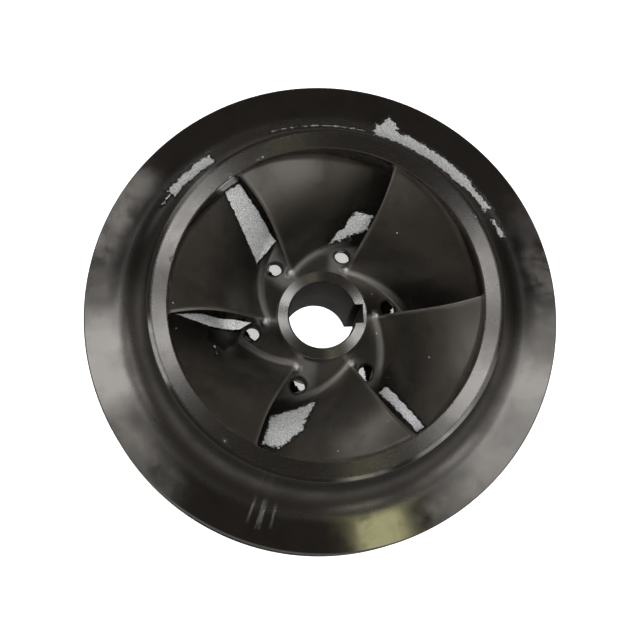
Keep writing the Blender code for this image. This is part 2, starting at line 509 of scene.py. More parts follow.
@dataclass(frozen=True)
class Streak(Spot):
    """A thin pale streak along a radius, a painted reflection.

    Attributes:
        degrees: Its direction from the axis.
        width: Its width.
        start: The radius where it starts.
        end: The radius where it ends.
        taper: How much softer its ends are than its sides.
        side: The least cosine of the angle to its direction, which keeps it off the far side.
        step: How fast it ends there.
    """

    degrees: float
    width: float
    start: float
    end: float
    taper: float = 0.12
    side: float = 0.2
    step: float = 0.05

    def outside(self, place: Place) -> Number:
        """Return how far a point lies outside the streak.

        Args:
            place: The shaded point.

        Returns:
            The distance in metres.
        """
        across = abs(place.towards(self.degrees + 90.0)) * place.radius - self.width / 2
        along = abs(place.radius - (self.start + self.end) / 2) - (self.end - self.start) / 2
        facing = self.side - place.towards(self.degrees)
        return across.at_least(along * self.taper).at_least(facing * self.step)

    def fray(self) -> float:
        """Return how far its edge wanders."""
        return self.width


def nearest_of(spots: Sequence[Spot], place: Place, noise: Number) -> Number:
    """Return how far a point lies outside the nearest of some spots."""
    return reduce(Number.at_most, [spot.over(place, noise) for spot in spots])


def shaded(colour: Colour, gain: float) -> Colour:
    """Return a colour made darker or brighter, to white at most."""
    return tuple(min(1.0, part * gain) for part in colour)


@dataclass(frozen=True)
class Coat:
    """Something thin on the metal.

    Attributes:
        colour: Its colour, or a link to one.
        cover: How much of what lies under it is hidden.
        rough: How much it adds to the roughness.
        dull: How much of the metal's reflection it takes away.
        edge: How far outside its spots it starts, and where it is full.
    """

    colour: Any
    cover: float = 1.0
    rough: float = 0.0
    dull: float = 0.0
    edge: Point = (0.0, 0.0)


FILM = Coat((0.40, 0.375, 0.33), 0.6, 0.16, 0.20)
# Rubbed leading edges: worn bright, with a painted highlight.
RUBBED_EDGE_SHEEN = Coat((0.85, 0.84, 0.82))
# Painted highlight along the vanes' feet: paler, and partly matte.
FOOT_SHEEN_COAT = Coat((0.85, 0.84, 0.81))
# Painted reflection streaks.
GLINT_STREAK = Coat((0.62, 0.60, 0.56), 0.5, 0.0, 0.16, (0.0003, -0.0008))
# Painted shade, as dark as soot.
PAINTED_SHADE = Coat((0.03, 0.028, 0.025), 0.85, 0.2, 0.0, (0.0014, 0.0))
# A fringe of painted shade round the pale patches.
PATCH_SHADE_FRINGE = Coat(PAINTED_SHADE.colour, 0.75, 0.3, 0.0, (0.0016, 0.0002))
GRIT = Coat((0.7, 0.7, 0.69), dull=1.0, edge=(0.055, 0.030))
PALE_PATCH = Coat(None, dull=1.0, edge=(0.0001, -0.0001))


@dataclass
class Skin:
    """What the shader takes, while coats are laid on the metal.

    Attributes:
        graph: The material's nodes.
        colour: The colour so far.
        rough: The roughness so far.
        height: The height that the bump is made from.
        metallic: How much it reflects as metal does.
    """

    graph: Graph
    colour: Any
    rough: Operand
    height: Number
    metallic: Operand = 1.0

    def lay(self, mask: Number, coat: Coat) -> None:
        """Lay a coat over what is there.

        Args:
            mask: Where it lies, from 0 to 1.
            coat: The coat.
        """
        self.colour = self.graph.mix(mask * coat.cover, self.colour, coat.colour)
        if coat.rough > 0:
            self.rough = self.rough + mask * coat.rough
        if coat.dull > 0:
            self.metallic = (1 - mask * coat.dull) * self.metallic


@dataclass(frozen=True)
class Fades:
    """Where the finishes start and stop, shared by every metal.

    Attributes:
        stain: The noise from which a stain starts and at which it is full.
        clouds: The share of the large clouds in the stains, the rest being blots.
        stain_rough: How much a stain adds to the roughness.
        blot_rough: How much the blots make the roughness vary.
        speck_gain: How much brighter than the metal its pale specks are.
        speck_cover: How much of the metal they hide.
        smudge: Half the width over which the smudges begin, in metres.
        smudge_least: The share of the smudges that lies inside their start.
        film: The width over which the film begins.
        shade: The width over which the sectors of painted shade end.
        shade_gain: Their brightness.
        shade_cover: How much they hide.
        wall: The width over which the dull bore, with its painted shade, begins.
        bore_shade_gain: The brightness of the shade painted in the bore.
        wall_rough: How much rougher it is.
        keyway: The x from which the keyway's painted shade starts, and at which it is darkest.
        keyway_shade_gain: The brightness of the shade painted in the keyway.
        face: How far under the face its finish starts and is full.
        grit: Cells of grit to the metre.
        greys: The pale patches' darkest and palest grey.
        lift: How high its grain stands, beside the tool marks.
        drift: The direction in degrees to which the turned lines change, and how far.
        polish: Polishing lines to the metre, across the axis and along it.
    """

    stain: Point = (0.45, 0.65)
    clouds: float = 0.6
    stain_rough: float = 0.12
    blot_rough: float = 0.04
    speck_gain: float = 1.9
    speck_cover: float = 0.1
    smudge: float = 0.003
    smudge_least: float = 0.2
    film: float = 0.007
    shade: float = 0.0085
    shade_gain: float = 0.45
    shade_cover: float = 0.8
    wall: float = 0.0004
    bore_shade_gain: float = 0.42
    wall_rough: float = 0.15
    keyway: Point = (0.0142, 0.0148)
    keyway_shade_gain: float = 0.06
    face: Point = (0.0004, 0.0001)
    grit: float = 150.0
    greys: Point = (0.32, 0.86)
    lift: float = 3.0
    drift: Point = (40.0, 0.4)
    polish: Point = (300.0, 900.0)


FADES = Fades()


@dataclass(frozen=True)
class Metal:
    """A worn, dark, polished steel.

    Attributes:
        name: The material's name.
        colour: Its clean colour.
        grime_and_shade: The colour of its stains, and, made darker, of its sectors of painted shade.
        roughness: The roughness of its clean surface.
        anisotropy: How far turning marks stretch a highlight.
        groove: The pitch of its turning marks, in metres.
        depth: The depth of the marks' bump.
        stains: How much of it is stained, from 0 to 1.
        marks: How it was finished.
        smudge: How much rougher its hazy smudges are.
        smudge_start: The radius beyond which they lie thickest.
        dull: How much rougher it is inside that radius.
        film: Sectors with a greasy film, as middle and half width in degrees.
        painted_shade_sectors: Sectors, given in the same way, with shade painted near the sweep.
        glint_streaks: Thin pale streaks, painted reflections of a lamp.
        painted_bore_shade: The radius inside which it is dull, with shade painted on it that is darkest in
            the keyway.
        worn: How far its edges are rubbed bright, as wear and as a painted highlight, where the mesh says
            so.
        foot_sheen_dull: How much of its reflection gives way to a pale matte painted highlight on the vanes'
            feet, where the mesh says so.
        patches: Pale patches on it.
        pallor: How pale those patches are, from 0 to 1.
        patch_shade: How dark the shade painted round them is.
        painted_shade_spots: Spots with shade painted on and round them.
        grit: The share of pale grit stuck to it, from 0 to 1.
        face: The height over which this finish holds, with the flanks' finish below.
        flanks: The finish below the face.
    """

    name: str
    colour: Colour
    grime_and_shade: Colour
    roughness: float
    anisotropy: float
    groove: float
    depth: float
    stains: float
    marks: Marks = Marks.TURNED
    smudge: float = 0.0
    smudge_start: float = 0.086
    dull: float = 0.0
    film: tuple[Point, ...] = ()
    painted_shade_sectors: tuple[Point, ...] = ()
    glint_streaks: tuple[Streak, ...] = ()
    painted_bore_shade: float = 0.0
    worn: float = 0.0
    foot_sheen_dull: float = 0.0
    patches: tuple[Spot, ...] = ()
    pallor: float = 1.0
    patch_shade: float = PATCH_SHADE_FRINGE.cover
    painted_shade_spots: tuple[Spot, ...] = ()
    grit: float = 0.0
    face: float = 0.0
    flanks: Optional["Metal"] = None

    def build(self) -> bpy.types.Material:
        """Build the finish's node tree.

        Returns:
            The material.
        """
        material = bpy.data.materials.new(self.name)
        graph = Graph.fresh(material)
        place = Place(graph)
        surface = self.surface(graph, place)
        if self.flanks is not None:
            start, full = FADES.face
            above = place.z.ramp(self.face - start, self.face - full)
            below = self.flanks.surface(graph, place)
            surface = graph.node("MixShader", {}, {0: above, 1: below, 2: surface}).outputs[0]
        output = graph.node("OutputMaterial", {}, {"Surface": surface})
        output.is_active_output = True
        return material

    def surface(self, graph: Graph, place: Place) -> bpy.types.NodeSocket:
        """Add this finish to a node tree.

        Args:
            graph: The graph to build in.
            place: The shaded point.

        Returns:
            The finish's shader socket.
        """
        skin = self._bare(graph, place)
        if self.smudge > 0:
            outward = place.radius.ramp(self.smudge_start - FADES.smudge, self.smudge_start + FADES.smudge)
            thick = outward * (1 - FADES.smudge_least) + FADES.smudge_least
            haze = graph.mask(place.point, HAZE) * thick
            skin.rough = skin.rough + haze * self.smudge + (1 - outward) * self.dull
        self._film_and_painted_shade(skin, place)
        self._painted_shade_and_highlights(skin, place)
        self._grit_patches_shade_and_glints(skin, place)
        return graph.node("BsdfPrincipled", {}, {
            "Base Color": skin.colour,
            "Roughness": skin.rough,
            "Metallic": skin.metallic,
            "Anisotropic": self.anisotropy,
            "Anisotropic Rotation": 0.25,
            "Normal": graph.bump(skin.height, self.depth),
        }).outputs[0]

    def _bare(self, graph: Graph, place: Place) -> Skin:
        """Start with the stained metal and its tool marks.

        Args:
            graph: The graph to build in.
            place: The shaded point.

        Returns:
            The skin to lay coats on.
        """
        clouds, blots = graph.noise(place.point, CLOUDS), graph.noise(place.point, BLOTS)
        mixed = clouds * FADES.clouds + blots * (1 - FADES.clouds)
        stain = mixed.ramp(*FADES.stain) * self.stains
        specks = graph.mask(place.point, SPECKS) * FADES.speck_cover
        colour = graph.mix(stain, self.colour, self.grime_and_shade)
        colour = graph.mix(specks, colour, shaded(self.colour, FADES.speck_gain))
        even = self.roughness - FADES.blot_rough / 2
        rough = stain * FADES.stain_rough + blots * FADES.blot_rough + even
        return Skin(graph, colour, rough, self._marks(graph, place))

    def _film_and_painted_shade(self, skin: Skin, place: Place) -> None:
        """Lay on the greasy film, and paint shade into some sectors near the sweep.

        Args:
            skin: The skin to lay them on.
            place: The shaded point.
        """
        start = self.smudge_start
        if self.film:
            spread = place.within(self.film) * place.radius.ramp(start, start + FADES.film)
            skin.lay(skin.graph.mask(place.point, GREASE) * spread, FILM)
        # Painted shade: some sectors near the sweep are darkened with the grime's colour.
        if self.painted_shade_sectors:
            band = place.within(self.painted_shade_sectors) * place.radius.ramp(start + FADES.shade, start)
            skin.lay(band, Coat(shaded(self.grime_and_shade, FADES.shade_gain), FADES.shade_cover))

    def _painted_shade_and_highlights(self, skin: Skin, place: Place) -> None:
        """Paint shade into the bore and the keyway, and paint highlights on the rubbed edges and on the
        feet.

        Args:
            skin: The skin to change.
            place: The shaded point.
        """
        # Painted shade: the bore is darkened, and the keyway more so; the bore is also rougher.
        if self.painted_bore_shade > 0:
            inside = place.radius.ramp(self.painted_bore_shade, self.painted_bore_shade - FADES.wall)
            skin.lay(inside, Coat(shaded(self.colour, FADES.bore_shade_gain), 1.0, FADES.wall_rough))
            slot = inside * place.x.ramp(*FADES.keyway)
            skin.lay(slot, Coat(shaded(self.colour, FADES.keyway_shade_gain)))
        # Rubbed leading edges: wear, with a painted highlight along them.
        if self.worn > 0:
            skin.lay(skin.graph.attribute(WORN_EDGE_SHEEN), replace(RUBBED_EDGE_SHEEN, cover=self.worn))
        # Painted highlight: a pale, partly matte line along each vane's foot and a dot at its leading edge.
        if self.foot_sheen_dull > 0:
            skin.lay(skin.graph.attribute(PAINTED_FOOT_SHEEN), replace(FOOT_SHEEN_COAT, dull=self.foot_sheen_dull))

    def _grit_patches_shade_and_glints(self, skin: Skin, place: Place) -> None:
        """Lay on the smears, the soot, the grit and the pale patches.

        Args:
            Lay on the painted reflection streaks, the painted shade, the grit, and the pale patches with
            painted shade round them.
            place: The shaded point.
        """
        graph = skin.graph
        noise = graph.noise(place.point, CRUMBLE)
        # Painted reflections: thin pale streaks along radii.
        if self.glint_streaks:
            skin.lay(nearest_of(self.glint_streaks, place, noise).ramp(*GLINT_STREAK.edge), GLINT_STREAK)
        # Painted shade: round the balance holes, and deep in one passage.
        if self.painted_shade_spots:
            skin.lay(nearest_of(self.painted_shade_spots, place, noise).ramp(*PAINTED_SHADE.edge), PAINTED_SHADE)
        if self.grit > 0:
            cells = graph.node("TexVoronoi", {}, {"Vector": place.point, "Scale": FADES.grit})
            grain = Number(graph, cells.outputs["Distance"]).ramp(*GRIT.edge)
            skin.lay(grain * self.grit, GRIT)
        # Pale patches and chips, with a fringe of painted shade round them.
        if self.patches:
            over = nearest_of(self.patches, place, noise)
            pallor = over.ramp(*PALE_PATCH.edge)
            grain = graph.mask(place.point, PATCH_GRAIN)
            dark, pale = ((grey * self.pallor,) * 3 for grey in FADES.greys)
            skin.lay(over.ramp(*PATCH_SHADE_FRINGE.edge), replace(PATCH_SHADE_FRINGE, cover=self.patch_shade))
            skin.lay(pallor, replace(PALE_PATCH, colour=graph.mix(grain, dark, pale)))
            skin.height = skin.height + pallor * grain * FADES.lift

    def _marks(self, graph: Graph, place: Place) -> Number:
        """Return the height of the tool marks.

        Args:
            graph: The graph to build in.
            place: The shaded point.

        Returns:
            The height, about 0 to 1.
        """
        if self.marks is Marks.TURNED:
            pitch = 1.0 / self.groove
            way, reach = FADES.drift
            where = graph.vector(place.radius * pitch, place.z * pitch, place.towards(way) * reach)
            return graph.noise(where, LATHE_LINES)
        if self.marks is Marks.POLISHED:
            across, along = FADES.polish
            where = graph.vector(place.x * across, place.y * across, place.z * along)
            return graph.noise(where, POLISH_LINES)
        return graph.noise(place.point, CAST_SKIN)


def arc(centre: Point, radius: float, start: float, end: float, steps: int) -> list[Point]:
    """Return points on an arc.

    Args:
        centre: The arc's centre, as radius and height.
        radius: The arc's own radius.
        start: The first angle, in radians.
        end: The last angle.
        steps: The number of points.

    Returns:
        The points, as radius and height.
    """
    return [tuple(c + p for c, p in zip(centre, polar(radius, a))) for a in np.linspace(start, end, steps)]


def sharp(points: Sequence[Point]) -> list[Corner]:
    """Return points of a section as corners without a round."""
    return [(r, z, 0.0) for r, z in points]


def eased(corners: Sequence[Corner], steps: int = 6) -> list[Point]:
    """Round each corner of a closed section that has a radius.

    Args:
        corners: Radius, height and edge radius of each corner.
        steps: The points of each round.

    Returns:
        The closed section's points, with one just off each round to keep the flats flat.
    """
    out: list[Point] = []
    count = len(corners)
    for i, (r, z, ease) in enumerate(corners):
        here = Vector((r, z))
        if ease <= 0:
            out.append((r, z))
            continue
        before = Vector(corners[i - 1][:2]) - here
        after = Vector(corners[(i + 1) % count][:2]) - here
        reach = min(ease, ROUND_SHARE * before.length, ROUND_SHARE * after.length)
        first = here + before.normalized() * reach
        last = here + after.normalized() * reach
        off = min(reach * FLAT_REACH, FLAT_SHARE * before.length)
        out.append(tuple(here + before.normalized() * off))
        for k in range(steps + 1):
            t = k / steps
            out.append(tuple(first.lerp(here, t).lerp(here.lerp(last, t), t)))
        off = min(reach * FLAT_REACH, FLAT_SHARE * after.length)
        out.append(tuple(here + after.normalized() * off))
    return out


def divided(section: Sequence[Point], longest: float) -> list[Point]:
    """Split the long sides of a closed section.

    Args:
        section: The section's points.
        longest: The longest side to leave.

    Returns:
        The section with more points.
    """
    out: list[Point] = []
    for i, (r, z) in enumerate(section):
        nr, nz = section[(i + 1) % len(section)]
        parts = max(1, int(np.ceil(hypot(nr - r, nz - z) / longest)))
        out += [(r + (nr - r) * k / parts, z + (nz - z) * k / parts) for k in range(parts)]
    return out


def drawn(name: str, shape: bmesh.types.BMesh) -> bpy.types.Mesh:
    """Move a shape into a new mesh.

    Args:
        name: The mesh's name.
        shape: The shape, which is freed.

    Returns:
        The mesh.
    """
    mesh = bpy.data.meshes.new(name)
    shape.to_mesh(mesh)
    shape.free()
    return mesh


def closed(name: str, shape: bmesh.types.BMesh) -> bpy.types.Mesh:
    """Move a closed shape into a smooth mesh with its faces outwards.

    Args:
        name: The mesh's name.
        shape: The shape, which is freed.

    Returns:
        The mesh.
    """
    bmesh.ops.recalc_face_normals(shape, faces=shape.faces)
    for face in shape.faces:
        face.smooth = True
    return drawn(name, shape)


def spun(name: str, section: Sequence[Point], segments: int) -> bpy.types.Mesh:
    """Spin a closed section about the Z axis.

    Args:
        name: The mesh's name.
        section: Radius and height of each point, in order.
        segments: The number of steps round the axis.

    Returns:
        A closed, smooth mesh with its faces outwards.
    """
    shape = bmesh.new()
    rings = []
    for k in range(segments):
        angle = 2 * pi * k / segments
        rings.append([shape.verts.new((*polar(r, angle), z)) for r, z in section])
    for here, there in zip(rings, rings[1:] + rings[:1]):
        for i in range(len(section)):
            j = (i + 1) % len(section)
            shape.faces.new((here[i], there[i], there[j], here[j]))
    mesh = closed(name, shape)
    mesh.set_sharp_from_angle(angle=CREASE)
    return mesh


def added(name: str, mesh: bpy.types.Mesh, material: bpy.types.Material) -> bpy.types.Object:
    """Put a mesh in the scene with one material.

    Args:
        name: The object's name.
        mesh: Its mesh.
        material: Its material.

    Returns:
        The object.
    """
    obj = bpy.data.objects.new(name, mesh)
    bpy.context.scene.collection.objects.link(obj)
    mesh.materials.clear()
    mesh.materials.append(material)
    return obj


def turned(name: str, corners: Sequence[Corner], segments: int, material: bpy.types.Material,
           longest: float = LONGEST) -> bpy.types.Object:
    """Turn a piece from the corners of its section.

    Args:
        name: The piece's name.
        corners: Radius, height and edge radius of each corner.
        segments: The number of steps round the axis.
        material: Its material.
        longest: The longest side of its section.

    Returns:
        The piece's object.
    """
    mesh = spun(name, divided(eased(corners), longest), segments)
    return added(name, mesh, material)


def applied(obj: bpy.types.Object, modifier: bpy.types.Modifier) -> bpy.types.Mesh:
    """Take a modifier off an object and return what it made.

    Args:
        obj: The object.
        modifier: Its modifier.

    Returns:
        A new plain mesh.
    """
    graph = bpy.context.evaluated_depsgraph_get()
    mesh = bpy.data.meshes.new_from_object(obj.evaluated_get(graph))
    obj.modifiers.remove(modifier)
    return mesh


def seated(obj: bpy.types.Object, slot: Slot, *nodes: str) -> None:
    """Let a finished piece ride on the body, in place of any solids that it stands for.

    Args:
        obj: The piece.
        slot: The record's material slot; not used.
        nodes: The names of the solids that it stands for.
    """
    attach(obj, BODY)
    if nodes:
        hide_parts(*nodes)
    log.info("%s: %d faces, for %s", obj.name, len(obj.data.polygons), ", ".join(nodes) or "itself")


class Tree(Nodes):
    """A geometry tree with named inputs, used once on each piece."""

    prefix = "GeometryNode"
    kinds = {int: "NodeSocketInt", float: "NodeSocketFloat"}

    def __init__(self, name: str, inputs: dict[str, Any]) -> None:
        """Make an empty tree.

        Args:
            name: The tree's name.
            inputs: The name and first value of each number that it takes, or None for a material.
        """
        super().__init__(bpy.data.node_groups.new(name, "GeometryNodeTree"))
        face = self.tree.interface
        face.new_socket("Geometry", in_out="INPUT", socket_type="NodeSocketGeometry")
        for label, value in inputs.items():
            kind = self.kinds.get(type(value), "NodeSocketMaterial")
            socket = face.new_socket(label, in_out="INPUT", socket_type=kind)
            if value is not None:
                socket.default_value = value
        face.new_socket("Geometry", in_out="OUTPUT", socket_type="NodeSocketGeometry")
        self.given = self.tree.nodes.new("NodeGroupInput").outputs
        self.exit = self.tree.nodes.new("NodeGroupOutput")

    def number(self, label: str) -> Number:
        """Return a named input as a number."""
        return Number(self, self.given[label])

    def close(self, geometry: bpy.types.NodeSocket) -> None:
        """End the tree in Realize Instances and Set Material.

        Args:
            geometry: The geometry to hand out.
        """
        real = self.node("RealizeInstances", {}, {"Geometry": geometry})
        painted = self.node("SetMaterial", {}, {
            "Geometry": real.outputs[0],
            "Material": self.given["Material"],
        })
        self.tree.links.new(painted.outputs[0], self.exit.inputs[0])

    def bake(self, obj: bpy.types.Object, values: dict[str, Any]) -> bpy.types.Mesh:
        """Run the tree on an object and return the plain mesh.

        Args:
            obj: The object that carries the starting mesh.
            values: A value for each named input.

        Returns:
            A new mesh.
        """
        modifier = obj.modifiers.new("tree", "NODES")
        modifier.node_group = self.tree
        for item in self.tree.interface.items_tree:
            if item.in_out == "INPUT" and item.name in values:
                modifier[item.identifier] = values[item.name]
        return applied(obj, modifier)


def drill_tree(sides: int = 48) -> Tree:
    """Make a tree that drills a ring of holes through a piece.

    Args:
        sides: The sides of each hole.

    Returns:
        The tree.
    """
    tree = Tree("balance_hole_ring", {
        "Count": 6, "Ring Radius": 0.03, "Hole Radius": 0.003, "Start": 0.0, "Low": 0.0, "High": 0.1,
        "Material": None,
    })
    given = tree.given
    low, high = tree.number("Low"), tree.number("High")
    ring = tree.node("MeshCircle", {}, {"Vertices": given["Count"], "Radius": given["Ring Radius"]})
    shaft = tree.node("MeshCylinder", {}, {
        "Vertices": sides, "Radius": given["Hole Radius"], "Depth": high - low})
    raised = tree.node("Transform", {}, {
        "Geometry": shaft.outputs["Mesh"], "Translation": tree.vector(0.0, 0.0, (high + low) * 0.5)})
    placed = tree.node("InstanceOnPoints", {}, {"Points": ring.outputs[0], "Instance": raised.outputs[0]})
    swung = tree.node("Transform", {}, {
        "Geometry": placed.outputs[0], "Rotation": tree.vector(0.0, 0.0, given["Start"])})
    cutters = tree.node("RealizeInstances", {}, {"Geometry": swung.outputs[0]})
    cut = tree.node("MeshBoolean", {"operation": "DIFFERENCE", "solver": "EXACT"}, {
        "Mesh 1": given["Geometry"], "Mesh 2": cutters.outputs[0]})
    tree.close(cut.outputs["Mesh"])
    return tree


def turn_tree() -> Tree:
    """Make a tree that carries one vane to its place in the row of vanes.

    Returns:
        The tree.
    """
    tree = Tree("vane_row_place", {"Index": 0, "Count": 6, "Material": None})
    angle = tree.number("Index") / tree.number("Count") * (2 * pi)
    placed = tree.node("Transform", {}, {
        "Geometry": tree.given["Geometry"], "Rotation": tree.vector(0.0, 0.0, angle)})
    tree.close(placed.outputs[0])
    return tree


@dataclass(frozen=True)
class Passage:
    """The water passage between the shrouds.

    Attributes:
        rim: The rim's radius.
        back_rim: The back shroud's radius, turned a little smaller.
        rim_front: The height of the front shroud's outer edge.
        front_wall: The front shroud's thickness at the rim.
        outlet: The width of the outlet.
        eye: The eye's radius.
        roof_radius: The radius of the front shroud's inner sweep.
        roof_slope: The slope of its inner side near the rim.
        root: The radius at which the floor's rise is stated.
        rise: The floor's rise at that radius.
        fall: The radius over which the rise falls off.
    """

    rim: float = 0.100
    back_rim: float = 0.0992
    rim_front: float = 0.0535
    front_wall: float = 0.0035
    outlet: float = 0.020
    eye: float = 0.0648
    roof_radius: float = 0.020
    roof_slope: float = radians(12)
    root: float = 0.0230
    rise: float = 0.0182
    fall: float = 0.01875

    def floor(self, r: float) -> float:
        """Return the height of the hub side at a radius."""
        lowest = self.rim_front - self.front_wall - self.outlet
        return lowest + self.rise * exp(-(r - self.root) / self.fall)

    def floor_slope(self, r: float) -> float:
        """Return the slope of the hub side at a radius."""
        return -self.rise / self.fall * exp(-(r - self.root) / self.fall)

    def roof(self, steps: int) -> list[Point]:
        """Trace the front shroud's inner side, from the throat to the rim.

        Args:
            steps: Points on its sweep.

        Returns:
            The points, as radius and height.
        """
        rim = (self.rim, self.rim_front - self.front_wall)
        centre_r = self.eye + self.roof_radius
        end_r = centre_r - self.roof_radius * sin(self.roof_slope)
        end_z = rim[1] + (self.rim - end_r) * tan(self.roof_slope)
        centre = (centre_r, end_z + self.roof_radius * cos(self.roof_slope))
        return [*arc(centre, self.roof_radius, pi, 1.5 * pi - self.roof_slope, steps), rim]


@dataclass
class FrontShroud:
    """The cone and neck on the suction side.

    Attributes:
        passage: The water passage whose roof it makes.
        slope: How steeply the cone rises from the rim.
        fillet: The sweep from the cone up to the neck.
        neck: The neck's radius.
        spigot: The radius of the spigot that carries the ring.
        spigot_top: The height of the spigot's end.
        edge: The bevel at the rim's front edge.
        edge_round: The round of that bevel's outer corner.
        segments: Steps round the axis.
    """

    passage: Passage
    slope: float = radians(9)
    fillet: float = 0.015
    neck: float = 0.0730
    spigot: float = 0.0680
    spigot_top: float = 0.0820
    edge: float = 0.0005
    edge_round: float = 0.0002
    segments: int = 300

    def outer(self, steps: int) -> list[Point]:
        """Trace the outer side, from the neck down to the cone.

        Args:
            steps: Points on its sweep.

        Returns:
            The points, as radius and height.
        """
        passage = self.passage
        centre_r = self.neck + self.fillet
        end_r = centre_r - self.fillet * sin(self.slope)
        end_z = passage.rim_front + (passage.rim - end_r) * tan(self.slope)
        centre = (centre_r, end_z + self.fillet * cos(self.slope))
        return arc(centre, self.fillet, pi, 1.5 * pi - self.slope, steps)

    @property
    def seat(self) -> float:
        """Return the height of the wear ring's seat."""
        return self.outer(2)[0][1]

    def dress(self, material: bpy.types.Material) -> None:
        """Build the piece and seat it.

        Args:
            material: Its material.
        """
        passage = self.passage
        rise = self.edge * tan(self.slope)
        corners: list[Corner] = [
            (passage.eye, self.spigot_top, EASE),
            (self.spigot, self.spigot_top, EASE),
            (self.spigot, self.seat, 0.0),
            *sharp(self.outer(SWEEP_STEPS)),
            (passage.rim - self.edge, passage.rim_front + rise, 0.0),
            (passage.rim, passage.rim_front - self.edge, self.edge_round),
            (passage.rim, passage.rim_front - passage.front_wall, EASE),
            *sharp(passage.roof(SWEEP_STEPS)[-2::-1]),
        ]
        seated(turned("front_shroud_shell", corners, self.segments, material), Slot.SHROUD, "front_shroud")


@dataclass
class WearRing:
    """A ring pressed on to a spigot and turned to its running size.

    Attributes:
        name: The name of the turned piece.
        node: The solid that it stands for.
        section: Its section's corners, with their rounds.
        segments: Steps round the axis.
        longest: The longest side of its section.
    """

    name: str
    node: str
    section: list[Corner]
    segments: int = 540
    longest: float = 0.0012

    def dress(self, material: bpy.types.Material) -> None:
        """Build the ring and seat it."""
        ring = turned(self.name, self.section, self.segments, material, self.longest)
        seated(ring, Slot.RING, self.node)


@dataclass
class BackShroud:
    """The disc that carries the vanes, with its balance holes and rear spigot.

    Attributes:
        passage: The water passage whose floor it makes.
        inner: The radius of its own bore.
        rim_wall: Its thickness at the rim.
        web: Its thickness at the hub.
        hub_radius: The hub's radius.
        seat_radius: The outer radius of the spigot for the rear ring.
        seat_inner: The spigot's inner radius.
        seat_depth: The spigot's length.
        shoulder: How far the shoulder round the hub lies under the floor.
        shoulder_radius: The shoulder's radius.
        web_start: The radius at which the rear side starts.
        rear_end: The radius at which its last straight stretch to the rim starts.
        margin: How far the rear side's points stay off the spigot.
        rim_round: The round of the rim's edges.
        hole_count: The number of balance holes.
        hole_radius: Their radius.
        hole_circle: The radius of the circle that they lie on.
        hole_start: The direction of the first, in degrees.
        hole_reach: The heights between which they are drilled.
        segments: Steps round the axis.
        lip_round: The round of the disc's edge outside the spigot.
        seat_round: The round of the spigot's own edges.
        step_round: The round of the disc's edge inside the spigot.
    """

    passage: Passage
    inner: float = 0.02215
    rim_wall: float = 0.004
    web: float = 0.0055
    hub_radius: float = 0.022
    seat_radius: float = 0.0560
    seat_inner: float = 0.0525
    seat_depth: float = 0.0110
    shoulder: float = 0.012
    shoulder_radius: float = 0.026
    web_start: float = 0.031
    rear_end: float = 0.0985
    margin: float = 0.002
    rim_round: float = 0.0005
    hole_count: int = 6
    hole_radius: float = 0.0032
    hole_circle: float = 0.02955
    hole_start: float = 8.3
    hole_reach: Point = (0.02, 0.06)
    segments: int = 300
    lip_round: float = 0.0008
    seat_round: float = 0.0006
    step_round: float = 0.0015

    def back(self, r: float) -> float:
        """Return the height of the rear side at a radius."""
        share = (r - self.hub_radius) / (self.passage.rim - self.hub_radius)
        return self.passage.floor(r) - self.web + share * (self.web - self.rim_wall)

    def rear(self, start: float, end: float, steps: int) -> list[Corner]:
        """Return corners along the rear side, from one radius to another."""
        return sharp([(r, self.back(r)) for r in np.linspace(start, end, steps)])

    def hole(self, index: int) -> float:
        """Return the direction of a balance hole, in radians."""
        return radians(self.hole_start) + 2 * pi * index / self.hole_count

    def dress(self, material: bpy.types.Material) -> None:
        """Build the disc, drill it and seat it.

        Args:
            material: Its material.
        """
        passage = self.passage
        radii = np.geomspace(self.inner, passage.back_rim - EASE * 2, 60)
        seat_z = self.back(self.seat_radius) - self.seat_depth
        shoulder_z = passage.floor(self.hub_radius) - self.shoulder
        corners: list[Corner] = [
            *sharp([(r, passage.floor(r)) for r in radii]),
            (passage.back_rim, passage.floor(passage.back_rim), self.rim_round),
            (passage.back_rim, self.back(passage.back_rim), self.rim_round),
            *self.rear(self.rear_end, self.seat_radius + self.margin, 16),
            (self.seat_radius, self.back(self.seat_radius), self.lip_round),
            (self.seat_radius, seat_z, self.seat_round),
            (self.seat_inner, seat_z, self.seat_round),
            (self.seat_inner, self.back(self.seat_inner), self.step_round),
            *self.rear(self.seat_inner - self.margin, self.web_start, 14),
            (self.shoulder_radius, shoulder_z, 0.0),
            (self.inner, shoulder_z, 0.0),
        ]
        blank = turned("back_shroud_blank", corners, self.segments, material)
        low, high = self.hole_reach
        mesh = drill_tree().bake(blank, {
            "Count": self.hole_count, "Ring Radius": self.hole_circle, "Hole Radius": self.hole_radius,
            "Start": self.hole(0), "Low": low, "High": high, "Material": material,
        })
        bpy.data.objects.remove(blank)
        seated(added("back_shroud_disc", mesh, material), Slot.SHROUD, "back_shroud")


